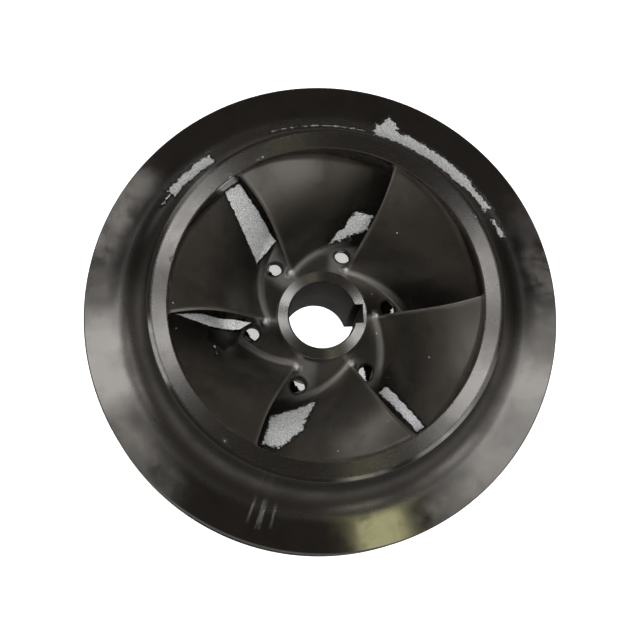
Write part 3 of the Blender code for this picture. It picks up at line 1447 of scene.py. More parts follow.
@dataclass
class HoleShadeLumps:
    """Dark lumps that narrow some of the balance holes, a dark stand-in for the shade inside them.

    Attributes:
        back: The disc with the holes.
        lumps: The hole, the side that the lump clings to in degrees, and the share it fills.
        depth: How far below the floor the lumps' tops lie.
        thick: Their thickness.
        steps: Points round a lump.
        ragged: How far the free edge wanders, as a share of the hole's radius.
        rings: The size and the depth of each ring of a lump, as shares of its outline and thickness.
        seed: The seed of its raggedness.
        gap: How far a lump stays off the hole's wall.
    """

    back: BackShroud
    lumps: tuple[tuple[int, float, float], ...] = (
        (0, 160.0, 0.80),
        (2, 225.0, 0.22),
        (3, 215.0, 0.34),
        (4, 215.0, 0.46),
        (5, 10.0, 0.52),
    )
    depth: float = 0.0026
    thick: float = 0.0016
    steps: int = 48
    ragged: float = 0.32
    rings: tuple[Point, ...] = ((1.0, 1.0), (1.0, 0.45), (0.8, 0.1), (0.4, 0.0))
    seed: int = 7
    gap: float = 0.00005

    def outline(self, toward: float, share: float, rough: np.random.Generator) -> list[Vector]:
        """Return a lump's outline: the hole's wall, and a ragged free edge.

        Args:
            toward: The side that it clings to, in degrees.
            share: How much of the hole's width it fills.
            rough: The source of its raggedness.

        Returns:
            Points about the hole's centre, in metres.
        """
        reach = self.back.hole_radius - self.gap
        free_edge = reach * (1 - 2 * share)
        points = []
        for k in range(self.steps):
            along, across = polar(reach, 2 * pi * k / self.steps)
            if along < free_edge:
                along = free_edge + reach * self.ragged * (rough.random() - 0.5)
            points.append(Vector((along, across, 0)))
        turn = Matrix.Rotation(radians(toward), 3, "Z")
        return [turn @ point for point in points]

    def lump(self, shape: bmesh.types.BMesh, outline: Sequence[Vector], centre: Vector) -> None:
        """Add one lump with a rounded top.

        Args:
            shape: The mesh to add it to.
            outline: Its outline about the hole's centre.
            centre: The hole's centre, at the height of the lump's top.
        """
        middle = sum(outline, Vector()) / len(outline)
        rings = []
        for scale, drop in self.rings:
            under = Vector((0, 0, drop * self.thick))
            rings.append([shape.verts.new(centre + middle.lerp(point, scale) - under)
                          for point in outline])
        for lower, upper in zip(rings, rings[1:]):
            for k in range(self.steps):
                m = (k + 1) % self.steps
                shape.faces.new((lower[k], lower[m], upper[m], upper[k]))
        shape.faces.new(rings[-1])
        shape.faces.new(rings[0][::-1])

    def dress(self, material: bpy.types.Material) -> None:
        """Build the lumps as one piece that rides with the disc.

        Args:
            material: Their material.
        """
        rough = np.random.default_rng(self.seed)
        back = self.back
        top = back.passage.floor(back.hole_circle) - self.depth
        shape = bmesh.new()
        for index, toward, share in self.lumps:
            centre = Vector((*polar(back.hole_circle, back.hole(index)), top))
            self.lump(shape, self.outline(toward, share, rough), centre)
        seated(added("balance_hole_shade_lumps", closed("balance_hole_shade_lumps", shape), material), Slot.SHROUD)


@dataclass
class Hub:
    """The hub, with its nose, bore and keyway.

    Attributes:
        passage: The water passage whose floor it meets.
        bore: The bore's radius.
        bore_chamfer: The chamfer at both ends of the bore.
        radius: The radius of the boss.
        nose: The radius of the nose.
        nose_top: The height of the nose's face.
        nose_round: The round of the nose's edge.
        nose_fillet: The sweep from the nose down to the floor.
        overlap: How far the sweep runs on over the disc.
        lip: How far its outer edge reaches under the floor.
        rear_round: The round of the rear edge.
        key_width: The keyway's width.
        key_depth: Its depth.
        segments: Steps round the axis.
        tries: How often the end of the sweep from the nose is closed in on.
        floor_steps: Points beyond that sweep.
    """

    passage: Passage
    bore: float = 0.0140
    bore_chamfer: float = 0.0006
    radius: float = 0.0220
    nose: float = 0.0189
    nose_top: float = 0.0575
    nose_round: float = 0.0005
    nose_fillet: float = 0.004
    overlap: float = 0.00015
    lip: float = 0.0020
    rear_round: float = 0.0012
    key_width: float = 0.008
    key_depth: float = 0.0033
    segments: int = 240
    tries: int = 20
    floor_steps: int = 5

    def flank(self, steps: int) -> list[Point]:
        """Trace the sweep from the nose down on to the passage floor.

        Args:
            steps: Points on the sweep.

        Returns:
            The points, as radius and height.
        """
        r = self.nose
        normal = (1.0, 0.0)
        # Where the sweep ends depends on the floor's slope there, so the end is closed in on.
        for _ in range(self.tries):
            slope = self.passage.floor_slope(r)
            size = hypot(slope, 1)
            normal = (-slope / size, 1 / size)
            r = self.nose + self.nose_fillet * (1 - normal[0])
        centre = (self.nose + self.nose_fillet, self.passage.floor(r) + self.nose_fillet * normal[1])
        sweep = arc(centre, self.nose_fillet, pi, pi + atan2(normal[1], normal[0]), steps)
        radii = np.linspace(r, self.radius + self.overlap, self.floor_steps + 1)[1:]
        return sweep + [(x, self.passage.floor(x)) for x in radii]

    def dress(self, material: bpy.types.Material) -> None:
        """Build the hub, cut its keyway and seat it.

        Args:
            material: Its material.
        """
        corners: list[Corner] = [
            (self.bore + self.bore_chamfer, self.nose_top, 0.0),
            (self.nose, self.nose_top, self.nose_round),
            *sharp(self.flank(SWEEP_STEPS // 2)),
            (self.radius, self.passage.floor(self.radius) - self.lip, 0.0),
            (self.radius, 0.0, self.rear_round),
            (self.bore + self.bore_chamfer, 0.0, 0.0),
            (self.bore, self.bore_chamfer, 0.0),
            (self.bore, self.nose_top - self.bore_chamfer, 0.0),
        ]
        obj = turned("hub_boss", corners, self.segments, material)
        self.cut_keyway(obj)
        seated(obj, Slot.HUB, "hub")

    def cut_keyway(self, obj: bpy.types.Object) -> None:
        """Cut the keyway through the whole length of the bore.

        Args:
            obj: The hub.
        """
        shape = bmesh.new()
        bmesh.ops.create_cube(shape, size=1)
        deep = self.bore + self.key_depth
        size = Vector((deep, self.key_width, self.nose_top * 1.2))
        bmesh.ops.scale(shape, vec=size, verts=shape.verts)
        bmesh.ops.translate(shape, vec=(deep / 2, 0, self.nose_top / 2), verts=shape.verts)
        cutter = bpy.data.objects.new("key_cutter", drawn("key_cutter", shape))
        bpy.context.scene.collection.objects.link(cutter)
        boolean = obj.modifiers.new("keyway", "BOOLEAN")
        boolean.operation = "DIFFERENCE"
        boolean.solver = "EXACT"
        boolean.object = cutter
        obj.data = applied(obj, boolean)
        bpy.data.objects.remove(cutter)
        obj.data.set_sharp_from_angle(angle=CREASE)


@dataclass
class VaneRow:
    """Six twisted vanes, lofted from the eye to the rim.

    Attributes:
        passage: The water passage that they cross.
        count: The number of vanes.
        wrap: How far a vane turns about the axis.
        exit_share: The share of that turn which is spread evenly along it.
        hub_curl: How early the rest is turned at the floor.
        shroud_curl: The same at the roof.
        thick: A vane's thickness.
        trailing: Its thickness at the rim.
        nose: Its thickness at the leading edge.
        root_fillet: The sweep at its foot.
        tip_fillet: The sweep at the roof.
        swell: The share of its length over which it grows to its thickness.
        taper_start: The share of its length from which it thins towards the rim.
        blunt: The length of its rounded nose, as a share of the nose's thickness.
        stations: Points along it.
        even: The share of them that is spread evenly.
        crowding: How much the rest crowds to the leading edge.
        spans: Points from floor to roof.
        gather: How much they gather at both.
        line_steps: Points on the line that its foot follows, with half as many at the roof.
        wall_steps: Points on the finer line that its sweeps are measured from.
        inner_end: The radius at which the floor is still felt, inside the eye.
        outer_end: The height at which the throat's line starts, above the eye.
        rim_gap: How far its end stays inside the rim.
        sunk: How far its foot reaches into the floor.
        settle: How sharply the foot bends down on to the floor.
        overrun: How far it runs on into the roof, as a share of its height.
        highest: The greatest height that it reaches.
        rubbed: How far back from the leading edge it is rubbed bright, with a painted highlight.
        sheen_reach: How far back from the leading edge the painted highlight on its foot reaches.
        sheen_fall: How the painted highlight falls off over that length.
        painted_sheen: How bright the painted highlight on the foot is.
        crest: Where on the foot's sweep the painted highlight line lies, from 0 at its top to 1.
        crest_width: The line's width, on that scale.
        dot: The length of the painted highlight dot at the leading edge's foot.
        dot_crest: Where on the sweep the dot lies.
        dot_width: Its width.
        edge: Radius, height and degrees of points on the leading edge.
    """

    passage: Passage
    count: int = 6
    wrap: float = radians(132)
    exit_share: float = 0.55
    hub_curl: float = 3.3
    shroud_curl: float = 2.0
    thick: float = 0.0042
    trailing: float = 0.0026
    nose: float = 0.0011
    root_fillet: float = 0.0040
    tip_fillet: float = 0.0015
    swell: float = 0.25
    taper_start: float = 0.6
    blunt: float = 0.9
    stations: int = 110
    even: float = 0.35
    crowding: float = 2.2
    spans: int = 52
    gather: float = 0.8
    line_steps: int = 80
    wall_steps: int = 120
    inner_end: float = 0.018
    outer_end: float = 0.09
    rim_gap: float = 0.0002
    sunk: float = 0.0001
    settle: int = 6
    overrun: float = 0.01
    highest: float = 0.0858
    rubbed: float = 0.0016
    sheen_reach: float = 0.034
    sheen_fall: float = 0.8
    painted_sheen: float = 0.33
    crest: float = 0.62
    crest_width: float = 0.24
    dot: float = 0.0010
    dot_crest: float = 0.56
    dot_width: float = 0.15
    edge: tuple[tuple[float, float, float], ...] = (
        (0.0230, 0.0477, 0.0),
        (0.0300, 0.0572, -0.6),
        (0.0380, 0.0664, -1.6),
        (0.0480, 0.0748, -1.2),
        (0.0580, 0.0806, -0.2),
        (0.0648, 0.0836, 1.0),
    )

    def leading(self, v: float) -> np.ndarray:
        """Find a point of the leading edge, run on past its ends.

        Args:
            v: The span, from 0 at the floor to 1 at the roof.

        Returns:
            Its radius, height and degrees.
        """
        edge = np.array(self.edge)
        share = (edge[:, 0] - edge[0, 0]) / (edge[-1, 0] - edge[0, 0])
        inside = min(max(v, 0.0), 1.0)
        fit = [np.polyfit(share, edge[:, k], 4) for k in range(3)]
        point = np.array([np.polyval(f, inside) for f in fit])
        slope = np.array([np.polyval(np.polyder(f), inside) for f in fit])
        return point + slope * (v - inside)

    def wrap_share(self, s: float, v: float) -> float:
        """Return the share of the wrap turned through at station s of span v."""
        curl = self.hub_curl + (self.shroud_curl - self.hub_curl) * v
        return self.exit_share * s + (1 - self.exit_share) * (1 - (1 - s) ** curl)

    def station_shares(self) -> np.ndarray:
        """Return the stations along a vane, close together at its leading edge."""
        t = np.linspace(0, 1, self.stations)
        return self.even * t + (1 - self.even) * t ** self.crowding

    def span_shares(self) -> np.ndarray:
        """Return the rows from floor to roof, close together at both, and just past the roof."""
        t = np.linspace(0, 1, self.spans)
        return (t - self.gather * np.sin(2 * pi * t) / (2 * pi)) * (1 + self.overrun)

    def camber(self) -> np.ndarray:
        """Work out the surface in the middle of a vane.

        Returns:
            Radius, height and angle, stations by spans.
        """
        edge = np.array(self.edge)
        passage = self.passage
        throat = np.array([(passage.eye, edge[-1, 1]), *passage.roof(self.line_steps // 2)])
        radii = np.geomspace(edge[0, 0], passage.rim, self.line_steps)
        hub = np.array([(r, passage.floor(r)) for r in radii])
        surface = np.empty((self.stations, self.spans, 3))
        for i, s in enumerate(self.station_shares()):
            fade = (1 - s) ** 2
            inner, outer = at_share(hub, s), at_share(throat, s)
            for j, v in enumerate(self.span_shares()):
                lead = self.leading(v)
                chord = edge[0, :2] + (edge[-1, :2] - edge[0, :2]) * v
                r, z = inner + (outer - inner) * v + (lead[:2] - chord) * fade
                angle = radians(lead[2]) * fade - self.wrap * self.wrap_share(s, v)
                surface[i, j] = r, z, angle
        return surface

    def half_thickness(self, run: np.ndarray, shares: np.ndarray) -> np.ndarray:
        """Return half the vane's thickness.

        Args:
            run: The distance from the leading edge, stations by spans.
            shares: The stations' shares of the vane's length.

        Returns:
            Half thicknesses, stations by spans.
        """
        swell = np.clip(shares / self.swell, 0, 1)[:, None]
        taper = np.clip((shares - self.taper_start) / (1 - self.taper_start), 0, 1)[:, None]
        body = self.nose + (self.thick - self.nose) * np.sqrt(swell)
        body = body + (self.trailing - self.thick) * taper
        short = 1 - np.clip(run / (self.nose * self.blunt), 0, 1)
        rounding = np.sqrt(np.clip(1 - short ** 2, 0, 1))
        return body / 2 * rounding

    def loft(self) -> bpy.types.Mesh:
        """Build one vane with sweeps at its root and tip.

        Returns:
            A closed mesh.
        """
        surface = self.camber()
        r, z, angle = surface[..., 0], surface[..., 1], surface[..., 2]
        middle = np.stack([r * np.cos(angle), r * np.sin(angle), z], -1)
        ahead = np.gradient(middle, axis=0)
        sideways = np.cross(ahead, np.gradient(middle, axis=1))
        steps = np.linalg.norm(np.diff(middle, axis=0), axis=-1)
        run = np.concatenate([np.zeros((1, self.spans)), np.cumsum(steps, axis=0)])
        passage = self.passage
        radii = np.geomspace(self.inner_end, passage.rim, self.wall_steps)
        floor = np.array([(x, passage.floor(x)) for x in radii])
        roof = np.array([(passage.eye, self.outer_end), *passage.roof(self.wall_steps // 2)])
        flare = np.zeros_like(r)
        nearness = []
        for line, size in ((floor, self.root_fillet), (roof, self.tip_fillet)):
            gap, wall = nearest(line, r, z)
            near = np.clip(1 - gap / size, 0, 1)
            flare = np.maximum(flare, size * (1 - np.sqrt(1 - near ** 2)))
            square = np.stack([wall[..., 0] * np.cos(angle), wall[..., 0] * np.sin(angle), wall[..., 1]], -1)
            ahead, sideways = (flattened(way, square, near) for way in (ahead, sideways))
            nearness.append(near)
        opened = np.clip(run / self.root_fillet, 0, 1)
        width = self.half_thickness(run, self.station_shares()) + flare * np.sqrt(1 - (1 - opened) ** 2)
        start = middle - ahead * (flare * (1 - opened))[..., None]
        sides = [start + k * sideways * width[..., None] for k in (1, -1)]
        for side in sides:
            self.trim(side, nearness[0])
        # Rubbed leading edge: wear, with a painted highlight.
        rubbed = np.clip(1 - run / self.rubbed, 0, 1)
        # Painted highlight: a pale line along the foot's sweep, and a dot where the leading edge meets the
        # floor.
        crest = np.exp(-((nearness[0] - self.crest) / self.crest_width) ** 2)
        fading = np.clip(1 - run / self.sheen_reach, 0, 1) ** self.sheen_fall * self.painted_sheen
        dots = np.exp(-((nearness[0] - self.dot_crest) / self.dot_width) ** 2 - (run / self.dot) ** 2)
        wear = {WORN_EDGE_SHEEN: (rubbed, rubbed), PAINTED_FOOT_SHEEN: (np.maximum(crest * fading, dots), dots)}
        return closed_sheet("vane", sides[0], sides[1], wear)

    def trim(self, side: np.ndarray, near: np.ndarray) -> None:
        """Keep one side of the vane inside the rim and the eye, and lay its foot on the floor.

        Args:
            side: The side's points, changed in place.
            near: 1 where the vane meets the floor, falling to 0 at the top of its root fillet.
        """
        out = np.hypot(side[..., 0], side[..., 1])
        shrink = np.minimum(1, (self.passage.back_rim - self.rim_gap) / out)
        side[..., :2] *= shrink[..., None]
        floor = np.vectorize(self.passage.floor)(out * shrink)
        side[..., 2] -= (side[..., 2] - floor + self.sunk) * near ** self.settle
        side[..., 2] = np.minimum(side[..., 2], self.highest)

    def dress(self, material: bpy.types.Material) -> None:
        """Loft one vane, carry a copy to each place and seat them.

        Args:
            material: Their material.
        """
        master = added("vane_master", self.loft(), material)
        tree = turn_tree()
        for k in range(self.count):
            mesh = tree.bake(master, {"Index": k, "Count": self.count, "Material": material})
            obj = added(f"vane_blade_{k + 1}", mesh, material)
            seated(obj, Slot.VANE, f"vane_{k + 1}")
        bpy.data.objects.remove(master)


def nearest(line: np.ndarray, r: np.ndarray, z: np.ndarray) -> tuple[np.ndarray, np.ndarray]:
    """Return each point's distance to a polyline and the polyline's normal there.

    Args:
        line: The polyline's points, as radius and height.
        r: The points' radii.
        z: The points' heights.

    Returns:
        Distances of the same shape as r, and unit normals as radius and height.
    """
    best = np.full(r.shape, np.inf)
    wall = np.zeros((*r.shape, 2))
    for (r0, z0), (r1, z1) in zip(line[:-1], line[1:]):
        dr, dz = r1 - r0, z1 - z0
        t = np.clip(((r - r0) * dr + (z - z0) * dz) / (dr * dr + dz * dz), 0, 1)
        gap = np.hypot(r - r0 - t * dr, z - z0 - t * dz)
        wall[gap < best] = np.array([dz, -dr]) / hypot(dr, dz)
        best = np.minimum(best, gap)
    return best, wall


def flattened(way: np.ndarray, square: np.ndarray, share: np.ndarray) -> np.ndarray:
    """Return unit directions turned towards the plane across another direction.

    Args:
        way: The directions.
        square: The unit direction to lean away from.
        share: 1 to lie flat in the plane and 0 to stay as it is.

    Returns:
        The new directions.
    """
    lean = (way * square).sum(-1) * share
    flat = way - square * lean[..., None]
    return flat / np.linalg.norm(flat, axis=-1, keepdims=True)


def at_share(line: np.ndarray, share: float) -> np.ndarray:
    """Find the point at a share of a polyline's length.

    Args:
        line: The polyline's points.
        share: The share, from 0 to 1.

    Returns:
        The point.
    """
    run = np.concatenate([[0], np.cumsum(np.hypot(*np.diff(line, axis=0).T))])
    where = share * run[-1]
    return np.array([np.interp(where, run, line[:, 0]), np.interp(where, run, line[:, 1])])


def closed_sheet(name: str, upper: np.ndarray, lower: np.ndarray,
                 wear: dict[str, tuple[np.ndarray, np.ndarray]]) -> bpy.types.Mesh:
    """Join two grids of points round their edges into one closed mesh.

    Args:
        name: The mesh's name.
        upper: Points of one side, rows by columns.
        lower: Points of the other side.
        wear: The value of each attribute at each point of either side: the rubbed edges' wear with its
            painted highlight, and the painted highlight on the feet.

    Returns:
        A smooth mesh with its faces outwards.
    """
    rows, columns = upper.shape[:2]
    shape = bmesh.new()
    layers = {title: shape.verts.layers.float.new(title) for title in wear}
    grids = [[[shape.verts.new(p) for p in row] for row in side] for side in (upper, lower)]
    for side, grid in enumerate(grids):
        for i in range(rows):
            for j in range(columns):
                for title, layer in layers.items():
                    grid[i][j][layer] = float(wear[title][side][i, j])
    for grid, flip in ((grids[0], False), (grids[1], True)):
        for i in range(rows - 1):
            for j in range(columns - 1):
                quad = [grid[i][j], grid[i + 1][j], grid[i + 1][j + 1], grid[i][j + 1]]
                shape.faces.new(quad[::-1] if flip else quad)
    rim = [(i, 0) for i in range(rows - 1)] + [(rows - 1, j) for j in range(columns - 1)]
    rim += [(i, columns - 1) for i in range(rows - 1, 0, -1)]
    rim += [(0, j) for j in range(columns - 1, 0, -1)]
    for (i, j), (k, m) in zip(rim, rim[1:] + rim[:1]):
        corners = [grids[0][k][m], grids[0][i][j], grids[1][i][j], grids[1][k][m]]
        shape.faces.new(corners)
    bmesh.ops.remove_doubles(shape, verts=shape.verts, dist=WELD)
    mesh = closed(name, shape)
    mesh.set_sharp_from_angle(angle=VANE_CREASE)
    return mesh


@dataclass(frozen=True)
class Window:
    """A soft bright stretch of the room, placed as the turned metal mirrors it.

    Attributes:
        name: What it stands for.
        middle: Its direction round the mirror line, in degrees from the photograph's right.
        width: Degrees that it spans round that line.
        near: Where it starts, as the tangent of its angle from the line.
        far: Where it ends.
        radiance: How bright it is.
        soft: Degrees over which its sides fade.
        fade: How far its near end fades.
        trail: How far its far end fades.
    """

    name: str
    middle: float
    width: float
    near: float
    far: float
    radiance: float
    soft: float = 3.0
    fade: float = 0.03
    trail: float = 0.1

    def light(self, angle: Number, reach: Number) -> Number:
        """Return its light in a direction.

        Args:
            angle: The direction round the mirror line, in radians.
            reach: The tangent of the angle from the line.

        Returns:
            The radiance.
        """
        off = abs((angle - radians(self.middle)).wrapped(pi))
        half, soft = radians(self.width) / 2, radians(self.soft) / 2
        side = off.ramp(half + soft, half - soft)
        start = reach.ramp(self.near - self.fade, self.near + self.fade)
        return side * start * reach.ramp(self.far + self.trail, self.far) * self.radiance


@dataclass(frozen=True)
class Studio:
    """The camera, the lights, the floor and the surroundings.

    Attributes:
        tilt: The angle between the camera's axis and the shaft's.
        azimuth: The direction in which it leans.
        distance: The camera's distance.
        target_height: The height on the shaft axis that it looks at.
        lens: Its focal length in millimetres.
        sensor: Its sensor's width.
        shift: Its shift, for the photograph's framing.
        photo_turn: The part's turn about the shaft between the model and the photograph.
        mirror_line: The direction that the turned metal's reflections run round, as slopes.
        shade: The radii between which the floor's shade under the part falls off.
        bore_shade: The radii between which it starts round the bore.
        paper: The floor's own colour.
        warm: The tint of its shade.
        glow: How bright it is in the open, in the shade, and to all but the camera.
        sink: How far it lies under the part.
        softbox_size: The width of the soft light, in metres.
        softbox_power: Its power in watts.
        softbox_place: Its place.
        dusk: Where the room brightens outwards, as tangents of the angle from the line, and by how much.
        night: How bright it is everywhere.
        room_tint: The room's colour.
        window_tint: The windows' colour.
        lamp_tint: The lamp's colour.
        windows: The bright stretches of the room.
        lamps: The stretches that a yellowish lamp lights.
    """

    tilt: float = radians(10.5)
    azimuth: float = radians(69.3)
    distance: float = 0.900
    target_height: float = 0.0534
    lens: float = 120.0
    sensor: float = 36.0
    shift: Point = (-0.0027, -0.0052)
    photo_turn: float = radians(2.75)
    mirror_line: Point = (0.0625, 0.172)
    shade: Point = (0.086, 0.068)
    bore_shade: Point = (0.0195, 0.0205)
    paper: Colour = (0.80, 0.80, 0.80)
    warm: Colour = (1.0, 0.99, 0.97)
    glow: tuple[float, float, float] = (0.97, 0.50, 0.16)
    sink: float = 0.0002
    softbox_size: float = 1.4
    softbox_power: float = 90.0
    softbox_place: Corner = (-0.2, -0.5, 3.0)
    dusk: tuple[tuple[float, float, float], ...] = ((0.16, 0.38, 0.012), (1.2, 6.0, 0.08))
    night: float = 0.021
    room_tint: Colour = (1.0, 0.88, 0.78)
    window_tint: Colour = (1.0, 0.985, 0.97)
    lamp_tint: Colour = (1.0, 0.98, 0.55)
    windows: tuple[Window, ...] = (
        Window("left", 190.5, 27.0, 0.34, 0.56, 0.52, 4.0, 0.03, 0.25),
        Window("left_core", 191.5, 19.0, 0.34, 0.60, 0.14, 2.0, 0.03, 0.3),
        Window("left_haze", 195.0, 52.0, 0.34, 0.46, 0.19, 18.0, 0.03, 0.1),
        Window("left_upper_haze", 157.0, 28.0, 0.34, 0.46, 0.06, 12.0, 0.03, 0.05),
        Window("right", 332.0, 32.0, 0.34, 0.60, 0.27, 8.0, 0.03, 2.4),
        Window("right_core", 345.0, 12.0, 0.34, 0.50, 0.26, 3.0, 0.03, 0.6),
        Window("right_haze", 327.0, 50.0, 0.34, 0.46, 0.24, 4.0, 0.03, 0.1),
        Window("right_edge", 356.0, 16.0, 0.34, 0.46, 0.34, 16.0, 0.03, 0.1),
        Window("left_low", 193.0, 22.0, 1.05, 1.25, 1.20, 4.0, 0.05, 0.1),
        Window("upper_left_low", 136.0, 22.0, 1.65, 2.2, 0.95, 8.0, 0.08, 0.4),
        Window("bottom_low", 284.0, 16.0, 0.95, 1.3, 0.30, 6.0, 0.1, 0.3),
        Window("top_low", 322.0, 14.0, 1.0, 1.6, 0.30, 6.0, 0.1, 0.4),
        Window("right_low", 312.0, 16.0, 0.95, 1.7, 0.40, 5.0, 0.1, 0.3),
        Window("overhead_a", 190.0, 18.0, 0.14, 0.34, 2.3, 3.0, 0.05, 0.04),
        Window("overhead_b", 16.0, 30.0, 0.14, 0.34, 1.7, 14.0, 0.05, 0.04),
        Window("overhead_c", 151.0, 22.0, 0.14, 0.34, 2.6, 3.0, 0.05, 0.04),
        Window("overhead_d", 331.0, 32.0, 0.14, 0.34, 2.2, 3.0, 0.05, 0.04),
    )
    lamps: tuple[Window, ...] = (
        Window("lamp", 286.2, 13.6, 0.30, 0.49, 0.76, 0.6, 0.02, 0.04),
        Window("lamp_low", 284.0, 8.0, 1.15, 1.28, 0.75, 1.0, 0.03, 0.05),
    )

    def camera(self) -> None:
        """Add the camera at the photograph's viewing angle."""
        lean = polar(-sin(self.tilt), self.azimuth)
        back = Vector((*lean, cos(self.tilt)))
        swing = Vector((0, 0, 1)).rotation_difference(back).to_matrix()
        axes = Matrix.Rotation(-self.photo_turn, 3, "Z") @ swing
        data = bpy.data.cameras.new("photo_camera")
        data.lens = self.lens
        data.sensor_width = self.sensor
        data.shift_x, data.shift_y = self.shift
        data.clip_end = 50.0
        obj = bpy.data.objects.new("photo_camera", data)
        at = Vector((0, 0, self.target_height)) + axes @ Vector((0, 0, 1)) * self.distance
        obj.matrix_world = Matrix.Translation(at) @ axes.to_4x4()
        bpy.context.scene.collection.objects.link(obj)
        bpy.context.scene.camera = obj

    def floor(self) -> None:
        """Add a wide pale floor, which is not part of the object."""
        shape = bmesh.new()
        bmesh.ops.create_grid(shape, x_segments=1, y_segments=1, size=6.0)
        material = bpy.data.materials.new("floor_paper")
        graph = Graph.fresh(material)
        camera_ray = graph.node("LightPath", {}, {}).outputs["Is Camera Ray"]
        paper = graph.node("BsdfDiffuse", {}, {"Color": self.paper})
        tints = ((1.0, 1.0, 1.0), self.warm, self.warm)
        lit, shadow, dim = (graph.node("Emission", {}, {"Color": tint, "Strength": strength}).outputs[0]
                            for tint, strength in zip(tints, self.glow))
        radius = Place(graph).radius
        under = radius.ramp(*self.bore_shade) * radius.ramp(*self.shade)
        glow = graph.node("MixShader", {}, {0: under, 1: lit, 2: shadow})
        both = graph.node("AddShader", {}, {0: paper.outputs[0], 1: glow.outputs[0]})
        chosen = graph.node("MixShader", {}, {0: camera_ray, 1: dim, 2: both.outputs[0]})
        graph.node("OutputMaterial", {}, {"Surface": chosen.outputs[0]})
        obj = added("floor", drawn("floor", shape), material)
        obj.location.z = -self.sink

    def surroundings(self) -> None:
        """Set a dim room with soft windows round the part and a pale one behind it."""
        world = bpy.data.worlds.new("studio")
        graph = Graph.fresh(world)
        camera_ray = graph.node("LightPath", {}, {}).outputs["Is Camera Ray"]
        x, y, z = graph.split(graph.node("TexCoord", {}, {}).outputs["Generated"])
        height = z.at_least(0.001)
        turn_cos, turn_sin = cos(self.photo_turn), sin(self.photo_turn)
        across = (x * turn_cos - y * turn_sin) / height - self.mirror_line[0]
        along = (x * turn_sin + y * turn_cos) / height - self.mirror_line[1]
        angle = along.heading(across)
        reach = (across * across + along * along).power(0.5)
        dusk = reduce(Number.__add__, [reach.ramp(near, far) * gain for near, far, gain in self.dusk])
        lights = (
            (self.room_tint, dusk + self.night),
            (self.window_tint, self.shining(self.windows, angle, reach)),
            (self.lamp_tint, self.shining(self.lamps, angle, reach)),
        )
        room = None
        for colour, strength in lights:
            glow = graph.node("Background", {}, {"Color": colour, "Strength": strength}).outputs[0]
            if room is not None:
                glow = graph.node("AddShader", {}, {0: room, 1: glow}).outputs[0]
            room = glow
        paper = graph.node("Background", {}, {"Color": (1.0, 1.0, 1.0), "Strength": 1.0})
        seen = graph.node("MixShader", {}, {0: camera_ray, 1: room, 2: paper.outputs[0]})
        graph.node("OutputWorld", {}, {"Surface": seen.outputs[0]})
        bpy.context.scene.world = world

    def shining(self, windows: Sequence[Window], angle: Number, reach: Number) -> Number:
        """Return the light of some windows together in a direction, given as for one window."""
        return reduce(Number.__add__, [window.light(angle, reach) for window in windows])

    def softbox(self) -> None:
        """Hang one wide soft light high over the part, for its dull surfaces; metal mirrors the room."""
        light = bpy.data.lights.new("softbox", "AREA")
        light.shape = "DISK"
        light.size = self.softbox_size
        light.energy = self.softbox_power
        obj = bpy.data.objects.new("softbox", light)
        obj.location = self.softbox_place
        obj.visible_glossy = False
        bpy.context.scene.collection.objects.link(obj)

    def build(self) -> None:
        """Set up everything round the part."""
        bpy.context.scene.view_settings.view_transform = "Standard"
        self.camera()
        self.floor()
        self.surroundings()
        self.softbox()


GRIME_AND_SHADE: Colour = (0.17, 0.16, 0.145)
WATERWAY: Colour = (0.50, 0.48, 0.45)

SHROUD_PATCHES = (
    ArcPatch(0.0842, 0.0046, 40.0, 71.0, 0.0060),
    ArcPatch(0.0845, 0.0030, 30.5, 44.0, 0.0060),
    Patch(((0.0262, 0.0790), (0.0290, 0.0760), (0.0372, 0.0800), (0.0335, 0.0850)), 0.0050, False),
    ArcPatch(0.0843, 0.0014, 21.5, 27.0, 0.0080),
    ArcPatch(0.0822, 0.0002, 74.0, 103.0, 0.0050),
    ArcPatch(0.0820, 0.0038, 122.0, 138.0, 0.0070),
    ArcPatch(0.0822, 0.0002, 138.0, 143.0, 0.0060),
)
PASSAGE_PATCHES = (
    Patch(((-0.0388, 0.0520), (-0.0258, 0.0261), (-0.0168, 0.0366), (-0.0324, 0.0561)), 0.0030),
    Patch(((0.0060, 0.0335), (0.0217, 0.0385), (0.0244, 0.0430), (0.0173, 0.0447)), 0.0080),
    Patch(((-0.0613, 0.0024), (-0.0476, -0.0013), (-0.0340, -0.0016), (-0.0295, 0.0005),
           (-0.0380, 0.0032), (-0.0500, 0.0042)), 0.0020),
    Patch(((-0.0278, -0.0534), (-0.0218, -0.0560), (-0.0122, -0.0494), (-0.0049, -0.0358),
           (-0.0233, -0.0409)), 0.0080),
    Patch(((0.0235, -0.0319), (0.0358, -0.0519), (0.0386, -0.0501), (0.0264, -0.0301)), 0.0040),
    ArcPatch(0.0471, 0.0002, 193.5, 198.5, 0.0050),
)
SHROUD_FILM: tuple[Point, ...] = ((155.0, 15.0), (214.0, 10.0), (306.0, 9.0), (1.0, 10.0))
# Sectors of the cone where shade is painted near the sweep.
SHROUD_PAINTED_SHADE: tuple[Point, ...] = ((150.0, 16.0), (9.0, 14.0))
